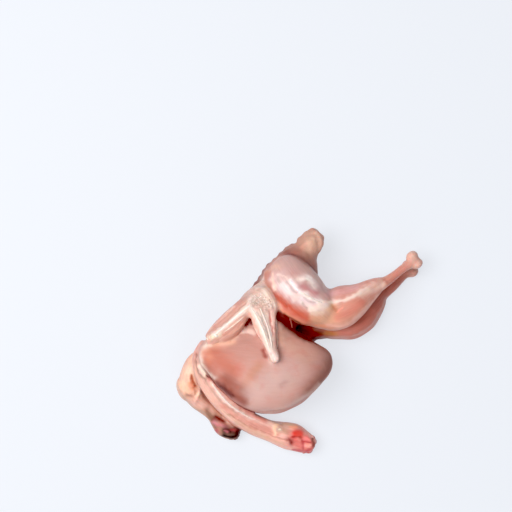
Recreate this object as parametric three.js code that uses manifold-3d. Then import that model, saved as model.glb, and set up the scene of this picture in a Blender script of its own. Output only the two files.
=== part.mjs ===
// A whole raw quail, skinned and drawn, lying on its right side with the breast turned a little up.
//
// The carcass is one solid. Every muscle is a closed body of its own, drawn out along the bone that it lies on, and
// they are all fused into one. Millimetres, +Z up. The bird lies on z = 0 and the origin is under the middle of its
// box. +X runs from the neck towards the feet, and the keel of the breast points to -Y.
import * as THREE from "three";
import { mergeVertices } from "three/addons/utils/BufferGeometryUtils.js";
import Module from "manifold-3d";

const wasm = await Module();
wasm.setup();

const bodyRoll = -22; // degrees that the trunk is rolled from lying flat on its side, breast up
const tableHeight = 0; // the surface that the bird lies on: what would reach below it is pressed flat
const facet = 3.3; // width of a face on the large muscles
const fewestSides = 8; // faces round the thinnest bone
const middle = new THREE.Vector3(1.8, 3.1, 0); // middle of the bird's box, from where its stations are measured

// A muscle's stations run along its bone, and each gives x, y, z, half the muscle's width and half its depth there.
// Its fullness says how the two ends close: 2 closes them like an egg, and 8 like a rod with round ends.
const trunk = {
  roll: bodyRoll,
  muscles: {
    back: {
      fullness: 3,
      stations: [
        [-40, -3, 22, 5, 7],
        [-27, 1, 21, 12.5, 15],
        [-15, 11.5, 20, 15, 17],
        [-7.5, 23, 20, 14.5, 16],
        [-2, 34, 20, 12.5, 14],
        [3, 43.5, 19, 8.5, 10],
        [7, 50, 18.5, 4, 5],
      ],
    },
    spine: {
      fullness: 9,
      stations: [
        [-38, 3, 18, 2.2, 3],
        [-26.6, 15, 15.4, 2.6, 3.4],
        [-19, 27.5, 14.6, 2.6, 3.4],
        [-11.6, 38.6, 15, 2.4, 3.2],
        [-1, 48.5, 17, 2.2, 2.8],
      ],
    },
    tail: {
      fullness: 4,
      stations: [
        [2, 44, 18.5, 6, 7],
        [7, 50.5, 19, 5.6, 4.6],
        [11, 56, 19.5, 3.6, 3],
      ],
    },
    leftBreast: {
      fullness: 3,
      stations: [
        [-46.5, -5.5, 27, 6, 8],
        [-38, -4.2, 28.3, 13.8, 11],
        [-24, -5.6, 28.2, 21.8, 12.8],
        [-10, -6.8, 27.6, 23, 12.8],
        [4, -7.6, 26.4, 18.2, 11.2],
        [17, -8, 22.5, 8, 6.8],
      ],
    },
    rightBreast: {
      fullness: 3,
      stations: [
        [-41, -9, 15, 5, 7],
        [-32, -10.8, 14, 12, 12],
        [-20, -12, 12.4, 19.2, 13.2],
        [-7.5, -12.6, 12.4, 18.4, 13],
        [4.5, -11, 14, 13, 10.5],
        [14, -8.5, 17, 6, 6],
      ],
    },
    keel: {
      fullness: 3,
      stations: [
        [-44, -8.6, 22, 6.6, 8],
        [-33, -8.4, 21.4, 14.6, 12.6],
        [-21.6, -9, 20.4, 21, 15],
        [-8.6, -10, 20, 21.2, 15],
        [5, -9.8, 20.2, 15.8, 12.6],
        [16, -8.6, 20, 7, 6.6],
      ],
    },
  },
};

const leftLeg = {
  muscles: {
    thigh: {
      fullness: 4,
      stations: [
        [-8.8, 42, 27.5, 8, 8],
        [-3.4, 34.2, 30.4, 9.2, 10.4],
        [3, 26.2, 31.8, 9.4, 10.8],
        [8.8, 20.4, 30.6, 8.8, 10.2],
        [14.5, 15.6, 28, 7.2, 8.2],
      ],
    },
    frontStrip: {
      fullness: 6,
      stations: [
        [-13, 37, 26, 3.4, 6],
        [-11.6, 27, 28, 3.9, 7.4],
        [-6, 18.8, 28.8, 4, 8],
        [2.8, 13.8, 28, 4, 7.6],
        [11.5, 12.4, 26.6, 4.4, 6.6],
      ],
    },
    hamstring: {
      fullness: 5,
      stations: [
        [-3.6, 42, 25, 6.2, 7],
        [2.4, 33.4, 27.6, 6.4, 8.6],
        [8.4, 26.4, 28, 6, 8.4],
        [15.2, 20.8, 26.6, 4.6, 6.4],
      ],
    },
    kneecap: {
      fullness: 2.6,
      stations: [
        [5.4, 14.4, 31, 3.2, 4],
        [10.4, 16.6, 32.6, 5, 5],
        [16, 17.6, 31.4, 3.4, 4],
      ],
    },
    calf: {
      fullness: 6,
      stations: [
        [11, 16, 27, 8, 8.4],
        [19.6, 17, 26.4, 8, 8.8],
        [27, 20.2, 24.8, 6.2, 8],
        [34.5, 25.6, 21.4, 3.8, 4.8],
        [40.5, 30.2, 19, 2, 2.6],
      ],
    },
    shin: {
      fullness: 6,
      stations: [
        [11, 20.6, 28, 5, 7.6],
        [19.6, 22.6, 27.6, 6.6, 8],
        [27.4, 25.4, 25.6, 5.1, 7],
        [34.6, 29.2, 22, 3, 4.4],
        [41, 32.6, 19, 1.8, 2.6],
      ],
    },
    shank: {
      fullness: 9,
      stations: [
        [34, 26.8, 21.6, 3.4, 3.8],
        [43.3, 32.4, 18, 2.5, 3],
        [50.5, 37.5, 15, 2.2, 2.6],
        [57, 41.8, 12.8, 2.6, 2.8],
      ],
    },
    hock: {
      fullness: 5,
      stations: [
        [53.6, 45.2, 13.4, 1.8, 2.2],
        [54.8, 43.6, 13.3, 3, 3.5],
        [56.2, 41.6, 13, 2.2, 2.6],
        [57.6, 39.6, 12.8, 3, 3.5],
        [58.6, 38, 12.6, 1.8, 2.2],
      ],
    },
  },
};

const rightLeg = {
  muscles: {
    thigh: {
      fullness: 4,
      stations: [
        [-8, 35, 11, 9, 9],
        [0, 25, 9, 11, 9.6],
        [8, 16.6, 8.4, 10.4, 9.2],
        [17, 10.6, 8, 7.6, 7.6],
      ],
    },
    frontStrip: {
      fullness: 6,
      stations: [
        [-6, 26, 9, 4, 6],
        [0, 14, 8.6, 4.2, 7],
        [8, 8.4, 8.2, 4, 7],
        [16, 7.4, 7.8, 3.8, 6],
      ],
    },
    calf: {
      fullness: 6,
      stations: [
        [13, 10, 8.2, 7, 8],
        [21, 10, 8.2, 7.2, 8],
        [29, 12.4, 7.8, 6.4, 7.6],
        [36, 17.8, 6.8, 4.6, 5.4],
        [41.5, 23.6, 5.8, 2.6, 3],
      ],
    },
    shin: {
      fullness: 6,
      stations: [
        [14, 15, 8.6, 6, 8],
        [22.5, 16, 8.4, 6.4, 8],
        [30.5, 18.6, 8, 5.6, 7],
        [37.4, 23.6, 7, 4.4, 5],
        [43.5, 29.4, 5.8, 2.4, 3],
      ],
    },
    shank: {
      fullness: 9,
      stations: [
        [36, 20.6, 7, 4, 4.4],
        [43.4, 27.2, 5.6, 2.8, 3.4],
        [50, 33, 4.4, 2.4, 2.8],
        [55.5, 37.6, 3.7, 2.6, 2.8],
      ],
    },
    hock: {
      fullness: 5,
      stations: [
        [52, 40.8, 4, 1.8, 2.2],
        [53.3, 39.3, 4, 3, 3.5],
        [54.8, 37.4, 3.8, 2.2, 2.6],
        [56.3, 35.5, 3.6, 3, 3.5],
        [57.4, 34, 3.4, 1.8, 2.2],
      ],
    },
  },
};

const neck = {
  muscles: {
    bones: {
      fullness: 9,
      stations: [
        [-41, 2, 24, 5.5, 7],
        [-45.2, -4.5, 23, 5, 6],
        [-45.2, -12.5, 20.5, 4.3, 5],
        [-41.6, -19.6, 18, 4.2, 4.8],
        [-37, -25.4, 15.4, 4.3, 4.8],
        [-30.3, -31, 12, 4.9, 4.9],
        [-23.2, -36, 8.6, 5.1, 5],
        [-14, -40.2, 6.4, 5, 5],
        [-3, -43, 5.8, 5.8, 5.4],
        [4.4, -45.6, 5.4, 5.4, 5],
        [8.8, -47.4, 5.2, 4.4, 4.4],
      ],
    },
    windpipe: {
      fullness: 9,
      stations: [
        [-44, -12, 24, 1.4, 1.6],
        [-38.4, -19.4, 21.6, 1.5, 1.7],
        [-32.6, -26, 18, 1.5, 1.7],
        [-24.6, -31.8, 13, 1.6, 1.8],
        [-15, -36.2, 10.6, 1.7, 1.9],
        [-7.4, -39, 9.6, 2.4, 2.2],
      ],
    },
  },
};

const leftWing = {
  muscles: {
    triceps: {
      fullness: 6,
      stations: [
        [-42, 4.4, 31.6, 3.2, 4.4],
        [-34.8, 11.6, 33.4, 3.4, 5],
        [-27.8, 18.2, 34.6, 3.4, 5],
        [-20.6, 24.4, 35.4, 3.2, 4.4],
      ],
    },
    humerus: {
      fullness: 7,
      stations: [
        [-42, 2, 34, 3, 4.6],
        [-38, 6, 36, 2.8, 4.4],
        [-30.6, 12.6, 37, 2.4, 4.2],
        [-24, 18.6, 38, 2.4, 4],
        [-18.6, 23, 38.4, 3, 3.6],
      ],
    },
    biceps: {
      fullness: 4,
      stations: [
        [-36.4, 5, 35.6, 2.8, 4],
        [-31, 8.8, 36.6, 3.2, 4.2],
        [-26, 13, 37, 2.8, 4],
        [-22, 17.6, 37.4, 2, 3.4],
      ],
    },
    elbow: {
      fullness: 3,
      stations: [
        [-22, 27, 33.6, 3.4, 4.4],
        [-17.4, 24.4, 36.6, 5.8, 5],
        [-14.6, 19, 38.4, 5.8, 4],
        [-13, 13.6, 38.8, 4.4, 2.6],
      ],
    },
    ulna: {
      fullness: 7,
      stations: [
        [-19.6, 22, 38.4, 3.4, 3.4],
        [-18, 14.8, 40, 3.7, 3.4],
        [-15.6, 8, 41.4, 2.9, 3],
        [-13.6, 2.6, 42.4, 2.3, 2.6],
        [-11.8, -2.2, 42.8, 2.7, 2.7],
        [-10.6, -5.4, 42.6, 2.2, 2.3],
      ],
    },
    radius: {
      fullness: 7,
      stations: [
        [-13.4, 21, 38, 2.2, 3],
        [-11.6, 15, 39.2, 1.9, 2.8],
        [-11.4, 8.4, 40.6, 1.5, 2.4],
        [-11.4, 2.8, 41.8, 1.4, 2.2],
        [-9.8, -1.6, 42.4, 2, 2.4],
        [-9.4, -4, 42.4, 1.6, 2],
      ],
    },
    wingWeb: {
      fullness: 6,
      stations: [
        [-16, 20, 37.6, 5, 2.6],
        [-15, 13, 39, 4, 2.4],
        [-13.6, 7, 40.4, 2.8, 2],
        [-12.4, 1, 41.6, 1.8, 1.8],
      ],
    },
  },
};

const rightWing = {
  muscles: {
    upperArm: {
      fullness: 3,
      stations: [
        [-42, -4, 15, 6, 7],
        [-47.5, -9, 11.5, 6, 7],
        [-50.4, -16, 8, 6, 6.6],
        [-49, -22, 6.4, 5.4, 6],
      ],
    },
    elbow: {
      fullness: 2.6,
      stations: [
        [-50.6, -12.6, 7.4, 4.8, 5.6],
        [-50.6, -19.4, 6.2, 6.3, 6.4],
        [-46.6, -25.4, 5.6, 4.6, 5],
      ],
    },
    forearm: {
      fullness: 7,
      stations: [
        [-49.4, -20.6, 5.8, 5.4, 5.8],
        [-45.8, -26.2, 5.4, 4.8, 5.4],
        [-40, -32, 5, 4.2, 5],
        [-34.8, -37.8, 4.8, 5, 4.8],
        [-28.4, -40.2, 4.6, 4.8, 4.6],
      ],
    },
  },
};

// The opening that the bird was drawn through, behind the breast and between the legs.
const bodyCavity = {
  fullness: 4,
  roll: bodyRoll,
  stations: [
    [-14, 8, 21, 6, 6],
    [0, 8.5, 20.6, 8.4, 7.4],
    [14, 7, 20, 9.4, 7.4],
    [30, 4, 19.4, 10, 7.4],
  ],
};

// One muscle: a unit sphere drawn out along the curve through the stations. A vertex's height on the sphere says how
// far along the curve it goes, and its direction from the sphere's axis says on which side of the curve it lies.
function muscle({ stations, fullness, roll = 0 }) {
  const alongCurve = (points) => new THREE.CatmullRomCurve3(points, false, "catmullrom", 0.5);
  const bone = alongCurve(stations.map(([x, y, z]) => new THREE.Vector3(x, y, z)));
  const girth = alongCurve(stations.map(([, , , width, depth]) => new THREE.Vector3(width, depth, 0)));
  const widest = Math.max(...stations.map(([, , , width, depth]) => (width + depth) / 2));
  const sides = Math.max(fewestSides, Math.round((2 * Math.PI * widest) / facet));
  const rings = Math.max(fewestSides, Math.round((bone.getLength() * 1.1) / facet));

  const skin = new THREE.SphereGeometry(1, sides, Math.min(rings, 2 * sides));
  skin.deleteAttribute("normal");
  skin.deleteAttribute("uv");
  const place = skin.getAttribute("position");
  const up = new THREE.Vector3(0, 0, 1);
  for (let i = 0; i < place.count; i++) {
    const t = THREE.MathUtils.clamp((1 - place.getY(i)) / 2, 0, 1);
    const angle = Math.atan2(place.getZ(i), place.getX(i));
    const heading = bone.getTangent(t);
    const across = up.clone().cross(heading).normalize().applyAxisAngle(heading, THREE.MathUtils.degToRad(roll));
    const above = heading.clone().cross(across);
    const closing = Math.pow(Math.max(0, 1 - Math.pow(Math.abs(2 * t - 1), fullness)), 1 / fullness);
    const size = girth.getPoint(t).multiplyScalar(closing);
    const point = bone.getPoint(t)
      .addScaledVector(across, Math.cos(angle) * size.x)
      .addScaledVector(above, Math.sin(angle) * size.y)
      .sub(middle);
    place.setXYZ(i, point.x, point.y, point.z);
  }
  return solid(skin);
}

function solid(geometry) {
  geometry.deleteAttribute("normal");
  geometry.deleteAttribute("uv");
  const closed = mergeVertices(geometry, 1e-4);
  return new wasm.Manifold(new wasm.Mesh({
    numProp: 3,
    vertProperties: new Float32Array(closed.getAttribute("position").array),
    triVerts: new Uint32Array(closed.index.array),
  }));
}

function geometryOf(shape) {
  const { vertProperties, triVerts } = shape.getMesh();
  const geometry = new THREE.BufferGeometry();
  geometry.setAttribute("position", new THREE.BufferAttribute(vertProperties, 3));
  geometry.setIndex(new THREE.BufferAttribute(triVerts, 1));
  return geometry;
}

// All the muscles fused, opened where the bird was drawn, and pressed flat where it lies.
function carcass() {
  const limbs = [trunk, leftLeg, rightLeg, neck, leftWing, rightWing];
  const fused = limbs
    .flatMap(({ roll, muscles }) => Object.values(muscles).map((shape) => muscle({ ...shape, roll })))
    .reduce((whole, one) => whole.add(one));
  const table = new THREE.BoxGeometry(400, 400, 40).translate(0, 0, tableHeight - 20);
  const lying = fused.subtract(muscle(bodyCavity)).subtract(solid(table));
  return lying.decompose().reduce((largest, one) => (one.volume() > largest.volume() ? one : largest));
}

const meat = new THREE.MeshStandardMaterial({ color: 0xd9a294, roughness: 0.4, metalness: 0 });
const body = new THREE.Mesh(geometryOf(carcass()), meat);
body.name = "quail";

const quail = new THREE.Group();
quail.add(body);

export default quail;
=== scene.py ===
# A whole raw quail, skinned and drawn, lying on its right side with the breast turned a little up.
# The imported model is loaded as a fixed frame. Its one solid is replaced by the finished bird: the
# same muscles at a half-millimetre mesh, grown together where they meet, with the strands, fat and
# cut ends that lie on them.
import math
import bpy
import numpy as np
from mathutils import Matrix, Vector
from mathutils.bvhtree import BVHTree


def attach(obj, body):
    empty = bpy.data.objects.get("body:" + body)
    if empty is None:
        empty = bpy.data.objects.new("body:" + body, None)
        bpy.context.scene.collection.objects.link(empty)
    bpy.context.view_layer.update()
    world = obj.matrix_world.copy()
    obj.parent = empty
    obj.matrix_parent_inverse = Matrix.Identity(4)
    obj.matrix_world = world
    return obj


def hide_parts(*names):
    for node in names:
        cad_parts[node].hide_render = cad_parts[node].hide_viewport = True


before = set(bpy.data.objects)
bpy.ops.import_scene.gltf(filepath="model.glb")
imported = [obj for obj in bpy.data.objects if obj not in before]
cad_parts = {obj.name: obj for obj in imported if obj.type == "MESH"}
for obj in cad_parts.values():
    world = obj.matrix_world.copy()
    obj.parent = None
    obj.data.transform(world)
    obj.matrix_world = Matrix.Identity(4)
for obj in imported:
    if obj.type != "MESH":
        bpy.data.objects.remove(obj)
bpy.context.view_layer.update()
print("frame loaded")

# The bird's stations are in millimetres from the point that the photo's pixel originPixel shows, and
# middle is where the middle of its box lies from there. The camera's height and its sensor are in
# millimetres too.
photo = dict(pixels=512, mmPerPixel=0.485, originPixel=(296, 346), cameraHeight=900.0, sensor=36.0)
middle = np.array([1.8, 3.1, 0.0])
seed = 7

# The muscles: how blunt the ends are, then stations along each of x, y, z, half the width and half
# the depth.
limbs = {
    "trunk": {
        "back": (3, [
            (-40, -3, 22, 5, 7), (-27, 1, 21, 12.5, 15), (-15, 11.5, 20, 15, 17),
            (-7.5, 23, 20, 14.5, 16),
            (-2, 34, 20, 12.5, 14), (3, 43.5, 19, 8.5, 10), (7, 50, 18.5, 4, 5),
        ]),
        "spine": (9, [
            (-38, 3, 18, 2.2, 3), (-26.6, 15, 15.4, 2.6, 3.4), (-19, 27.5, 14.6, 2.6, 3.4),
            (-11.6, 38.6, 15, 2.4, 3.2), (-1, 48.5, 17, 2.2, 2.8),
        ]),
        "tail": (4, [
            (2, 44, 18.5, 6, 7), (7, 50.5, 19, 5.8, 4.8), (10.6, 55.4, 19.5, 4.4, 3.6),
        ]),
        "oilGland": (3, [
            (1, 44, 22, 3, 3), (5.4, 49.4, 22.8, 3.6, 2.8), (8.6, 53.6, 22, 2.2, 2),
        ]),
        "leftBreast": (3, [
            (-46.5, -5.5, 27, 6, 8), (-38, -4.2, 28.3, 13.8, 11), (-24, -5.6, 28.2, 21.8, 12.8),
            (-10, -6.8, 27.6, 23, 12.8), (3.6, -6.6, 26.4, 17.4, 11.2), (16.8, -5.2, 22.5, 8, 6.8),
        ]),
        "rightBreast": (3, [
            (-41, -9, 15, 5, 7), (-32, -10.8, 14, 12, 12), (-20, -12, 12.4, 19.2, 13.2),
            (-7.5, -12.6, 12.4, 18.4, 13), (4, -10, 14, 12.2, 10.5), (13.4, -7, 17, 6, 6),
        ]),
        "keel": (3, [
            (-44, -8.6, 22, 6.6, 8), (-33, -8.4, 21.4, 14.6, 12.6), (-21.6, -9, 20.4, 21, 15),
            (-8.6, -10, 20, 21.2, 15), (4.6, -8.4, 20.2, 14.8, 12.6), (16, -6, 20, 7, 6.6),
        ]),
        "belly": (3, [
            (-8, 12, 9, 5, 7), (0, 8, 8.6, 5.6, 7), (5.6, 5.4, 8.4, 4.4, 6), (9.4, 4.2, 8.4, 2.6, 4),
        ]),
    },
    "leftLeg": {
        "thigh": (4, [
            (-8.8, 42, 27.5, 8, 8), (-3.4, 34.2, 30.4, 9.2, 10.4), (3, 26.2, 31.8, 9.4, 10.8),
            (8.8, 20.4, 30.6, 8.8, 10.2), (14.5, 15.6, 28, 7.2, 8.2),
        ]),
        "frontStrip": (6, [
            (-13, 37, 26, 3.4, 6), (-11.6, 27, 28, 3.9, 7.4), (-6, 18.8, 28.8, 4, 8),
            (2.8, 15.2, 28, 4, 7.6), (11, 15.3, 26.8, 4, 6.6),
        ]),
        "hamstring": (5, [
            (-3.6, 42, 25, 6.2, 7), (2.4, 33.4, 27.6, 6.4, 8.6), (8.4, 26.4, 28, 6, 8.4),
            (15.2, 20.8, 26.6, 4.6, 6.4),
        ]),
        "kneecap": (2.6, [
            (5.4, 14.4, 31, 3.2, 4), (10.4, 16.6, 32.6, 5, 5), (16, 17.6, 31.4, 3.4, 4),
        ]),
        "calf": (6, [
            (11, 16, 27, 8, 8.4), (19.6, 17, 26.4, 8, 8.8), (27, 20.2, 24.8, 6.2, 8),
            (34.5, 25.6, 21.4, 3.8, 4.8), (40.5, 30.2, 19, 2, 2.6),
        ]),
        "kneeWeb": (4, [
            (4, 16.4, 28, 4.4, 7), (10.5, 15, 27.6, 5.3, 7.4), (17, 15, 26.8, 6, 7.8),
            (24, 16.8, 25.6, 5.6, 7.2),
        ]),
        "shin": (6, [
            (11, 20.6, 28, 5, 7.6), (19.6, 22.6, 27.6, 6.6, 8), (27.4, 25.4, 25.6, 5.1, 7),
            (34.6, 29.2, 22, 3, 4.4), (41, 32.6, 19, 1.8, 2.6),
        ]),
        "shank": (9, [
            (34, 26.8, 21.6, 3.4, 3.8), (43.3, 32.4, 18, 2.5, 3), (50.5, 37.5, 15, 2.2, 2.6),
            (57, 41.8, 12.8, 2.6, 2.8),
        ]),
        "hock": (5, [
            (53.6, 45.2, 13.4, 1.8, 2.2), (54.8, 43.6, 13.3, 3, 3.5), (56.2, 41.6, 13, 2.2, 2.6),
            (57.6, 39.6, 12.8, 3, 3.5), (58.6, 38, 12.6, 1.8, 2.2),
        ]),
    },
    "rightLeg": {
        "thigh": (4, [
            (-8, 35, 11, 9, 9), (0, 25, 9, 11, 9.6), (8, 16.6, 8.4, 10.4, 9.2), (17, 10.6, 8, 7.6, 7.6),
        ]),
        "frontStrip": (6, [
            (-6, 26, 9, 4, 6), (0, 14, 8.6, 4.2, 7), (8, 8.4, 8.2, 4, 7), (16, 7.4, 7.8, 3.8, 6),
        ]),
        "calf": (6, [
            (13, 10, 8.2, 7, 8), (21, 10.3, 8.2, 7, 8), (29.8, 11.8, 7.8, 6.9, 7.6),
            (36.8, 17.2, 6.8, 4.5, 5.4), (42, 23.4, 5.8, 2.4, 3),
        ]),
        "shin": (6, [
            (14, 15, 8.6, 6, 8), (22.5, 16, 8.4, 6.4, 8), (30.5, 18.6, 8, 5.6, 7),
            (37.4, 23.6, 7, 4.4, 5),
            (43.5, 29.4, 5.8, 2.4, 3),
        ]),
        "shank": (9, [
            (36, 20.6, 7, 4, 4.4), (43.4, 27.2, 5.6, 2.8, 3.4), (50, 33, 4.4, 2.4, 2.8),
            (55.5, 37.6, 3.7, 2.6, 2.8),
        ]),
        "hock": (5, [
            (52, 40.8, 4, 1.8, 2.2), (53.3, 39.3, 4, 3, 3.5), (54.8, 37.4, 3.8, 2.2, 2.6),
            (56.3, 35.5, 3.6, 3, 3.5), (57.4, 34, 3.4, 1.8, 2.2),
        ]),
    },
    "neck": {
        "bones": (9, [
            (-41, 2, 24, 5.5, 7), (-44.6, -4.5, 23, 4.8, 6), (-44.2, -12.5, 20.5, 4.2, 5),
            (-40.9, -19.4, 18, 4.1, 4.8), (-36.6, -25.2, 15.4, 4.3, 4.8), (-30.3, -31, 12, 4.9, 4.9),
            (-23.2, -36, 8.6, 5.1, 5), (-14, -40.2, 6.4, 5, 5), (-3.4, -43, 6, 6.7, 5.8),
            (3.4, -45.8, 5.6, 5.8, 5.4), (8.4, -48, 5.4, 4.3, 4.4),
        ]),
        "windpipe": (9, [
            (-44, -12, 24, 1.4, 1.6), (-38.2, -19, 22, 1.8, 2), (-32, -25.4, 18.6, 2, 2.2),
            (-24, -31.2, 13.8, 2, 2.2), (-15, -36, 10.8, 1.9, 2), (-7.4, -39, 9.6, 2.4, 2.2),
        ]),
    },
    "leftWing": {
        "triceps": (6, [
            (-42, 4.4, 31.6, 3.2, 4.4), (-34.8, 11.6, 33.4, 3.4, 5), (-27.8, 18.2, 34.6, 3.4, 5),
            (-20.6, 24.4, 35.4, 3.2, 4.4),
        ]),
        "humerus": (7, [
            (-41.6, 4, 33, 2.6, 4), (-37.8, 7, 35.4, 2.7, 4.2), (-30.6, 12.6, 37, 2.4, 4.2),
            (-24, 18.6, 38, 2.4, 4), (-18.6, 23, 38.4, 3, 3.6),
        ]),
        "biceps": (4, [
            (-36.4, 5, 35.6, 2.8, 4), (-31, 8.8, 36.6, 3.2, 4.2), (-26.4, 12.8, 37, 2.3, 4),
            (-22.6, 17, 37.4, 1.4, 3.4),
        ]),
        "elbow": (3, [
            (-22, 27, 32.6, 3.4, 4.4), (-17.4, 24.4, 35.6, 5.4, 4.6), (-14.8, 19, 37.8, 5.2, 3.8),
            (-13.2, 13.6, 38.6, 4.2, 2.6),
        ]),
        "ulna": (7, [
            (-19.6, 22, 38.4, 3.4, 3.4), (-18, 14.8, 40, 3.7, 3.4), (-15.6, 8, 41.4, 2.9, 3),
            (-13.5, 2.6, 42.4, 2.2, 2.6), (-11.2, -2.2, 42.8, 2.3, 2.5), (-10.1, -5.4, 42.6, 2, 2.2),
        ]),
        "radius": (7, [
            (-13.8, 21, 37.6, 2.1, 3), (-12, 15, 39, 1.8, 2.8), (-11.8, 8.4, 40.4, 1.4, 2.4),
            (-11.6, 2.8, 41.6, 1.3, 2.2), (-10.2, -1.6, 42.4, 1.5, 2.2), (-9.9, -4, 42.4, 1.2, 1.8),
        ]),
        "elbowFilm": (3, [
            (-26, 19, 31.6, 4, 3.6), (-21.6, 23.6, 32, 3.8, 4), (-17.4, 27.4, 31.8, 4, 3.6),
            (-14.6, 30.4, 30, 3, 3),
        ]),
        "flankFilm": (4, [
            (-17.4, 31.5, 30.6, 2, 2.6), (-14, 26.6, 33, 2.2, 3), (-11, 22, 34.4, 2.2, 3),
            (-8, 19, 34, 1.6, 2.4),
        ]),
        "wingWeb": (6, [
            (-16.2, 20, 35.8, 4.6, 4.4), (-15.2, 13, 36.8, 3.6, 4.6), (-13.9, 7, 38.2, 2.5, 4.2),
            (-12.6, 1, 39.6, 1.7, 3.8),
        ]),
    },
    "rightWing": {
        "upperArm": (3, [
            (-42, -4, 15, 6, 7), (-47.5, -9, 11.5, 6, 7), (-50.4, -16, 8, 6, 6.6),
            (-49, -22, 6.4, 5.4, 6),
        ]),
        "elbow": (2.6, [
            (-51, -12.6, 7.4, 4.9, 5.6), (-51.2, -19.6, 6.2, 6.6, 6.4), (-47.8, -26, 5.6, 5, 5),
        ]),
        "forearm": (7, [
            (-50.2, -21, 5.8, 5.6, 5.8), (-46.6, -26.4, 5.4, 4.8, 5.4), (-39.8, -32, 5, 4.1, 5),
            (-34.6, -38.2, 4.8, 5, 4.8), (-27.2, -40.6, 4.6, 4.6, 4.6),
        ]),
    },
}
cavity = (4, [
    (-14, 8, 21, 6, 6), (-2, 8.5, 20.6, 8, 7.4), (9, 7.6, 20.2, 8.2, 7), (20, 5.6, 19.6, 7, 6),
])
rollOf = dict.fromkeys(limbs, 0.0)      # degrees that a limb's sections turn about its bones
rollOf["trunk"] = -22.0
muscleNames = [(limb, name) for limb, muscles in limbs.items() for name in muscles]


# Colour and noise

def linear(code):
    # An sRGB hex value as linear light.
    channels = np.array([int(code[i:i + 2], 16) / 255 for i in (1, 3, 5)])
    return np.where(channels <= 0.04045, channels / 12.92, ((channels + 0.055) / 1.055)**2.4)


def rgba(code):
    # The same with full cover, as sockets take it.
    return (*linear(code), 1.0)


def ramp(value, start, end):
    # 0 up to start, 1 from end, and smooth between: 3 w^2 - 2 w^3.
    w = np.clip((value - start) / (end - start), 0, 1)
    return w * w * (3 - 2 * w)


noiseLook = dict(waves=12, pace=(0.7, 1.4), spread=3.5)      # spread brings their sum to about 1


def waves(points, size, order):
    # Soft noise of about -1 to 1: the sum of sine waves in drawn directions, about size from crest to
    # crest. The order says which draw it is.
    draw = np.random.default_rng(seed + order)
    directions = draw.normal(size=(noiseLook["waves"], points.shape[1]))
    directions /= np.linalg.norm(directions, axis=1)[:, None]
    pace = 2 * math.pi / size * draw.uniform(*noiseLook["pace"], noiseLook["waves"])
    phase = draw.uniform(0, 2 * math.pi, noiseLook["waves"])
    return np.sin(points @ (directions * pace[:, None]).T + phase).sum(1) / noiseLook["spread"]


# Forms

formLook = dict(
    face=0.8,            # millimetres, the size of a face on a muscle's surface
    crowded=1.3,         # rings crowd towards the ends, so there are so many times more of them
    fewest=12,           # rings of a muscle, and sides of a ring
    lookedAt=60,         # points of a bone that its length is added up from
)


def curveThrough(points, t):
    # Uniform Catmull-Rom: between two points a cubic, whose slope at each is half the step between its
    # neighbours.
    points = np.asarray(points, float)
    ends = np.vstack([2 * points[0] - points[1], points, 2 * points[-1] - points[-2]])
    place = np.clip(t, 0, 1) * (len(points) - 1)
    first = np.minimum(place.astype(int), len(points) - 2)
    w = (place - first)[:, None]
    before, a, b, after = (ends[first + k] for k in range(4))
    slopeA, slopeB = (b - before) / 2, (after - a) / 2
    return (a + w * slopeA + w**2 * (3 * (b - a) - 2 * slopeA - slopeB)
            + w**3 * (2 * (a - b) + slopeA + slopeB))


def alongBone(stations, roll, t):
    # The curve through the stations, its heading, the two directions of its section, and half its
    # width and depth. The heading is the step from a little before to a little after.
    stations = np.asarray(stations, float)
    centre, size = curveThrough(stations[:, :3], t), curveThrough(stations[:, 3:], t)
    little = 1e-4
    heading = (curveThrough(stations[:, :3], np.minimum(t + little, 1))
               - curveThrough(stations[:, :3], np.maximum(t - little, 0)))
    heading /= np.linalg.norm(heading, axis=1)[:, None]
    across = np.cross([0, 0, 1], heading)
    across /= np.linalg.norm(across, axis=1)[:, None]
    above = np.cross(heading, across)
    c, s = math.cos(math.radians(roll)), math.sin(math.radians(roll))
    across, above = across * c + above * s, above * c - across * s
    return centre, heading, across, above, size


def lengthOf(path):
    # The sum of the steps from point to point.
    return np.linalg.norm(np.diff(path, axis=0), axis=1).sum()


def ringsToFaces(rings, sides):
    # Quads between each ring of points and the next, and a triangle fan from each end's ring to its pole.
    row = np.arange(rings - 1)[:, None] * sides
    here, there = np.arange(sides)[None, :], (np.arange(sides)[None, :] + 1) % sides
    quads = np.stack([row + here, row + there, row + sides + there, row + sides + here], -1).reshape(-1, 4)
    here, there = here[0], there[0]
    pole, last = rings * sides, (rings - 1) * sides
    caps = np.vstack([np.stack([there, here, np.full(sides, pole)], -1),
                      np.stack([last + here, last + there, np.full(sides, pole + 1)], -1)])
    return quads.tolist() + caps.tolist()


def muscleSurface(stations, fullness, roll=0.0):
    # A round profile carried along the bone: centre + across * width * cos(a) + above * depth * sin(a),
    # where both sizes close at the ends as a superellipse, (1 - |2t - 1|^fullness)^(1 / fullness).
    look = formLook
    centre, heading, across, above, size = alongBone(stations, roll, np.linspace(0, 1, look["lookedAt"]))
    sides = int(max(look["fewest"], 2 * math.pi * size.mean(1).max() / look["face"]))
    rings = int(max(look["fewest"], look["crowded"] * lengthOf(centre) / look["face"]))
    t = (1 - np.cos(np.linspace(0, math.pi, rings + 2))) / 2
    centre, heading, across, above, size = alongBone(stations, roll, t)
    size = size * (np.maximum(0, 1 - np.abs(2 * t - 1)**fullness)**(1 / fullness))[:, None]
    a = np.linspace(0, 2 * math.pi, sides, endpoint=False)[None, :, None]
    ring = (centre[:, None] + across[:, None] * np.cos(a) * size[:, None, :1]
            + above[:, None] * np.sin(a) * size[:, None, 1:])
    return np.vstack([ring[1:-1].reshape(-1, 3), centre[:1], centre[-1:]]), ringsToFaces(rings, sides)


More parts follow.
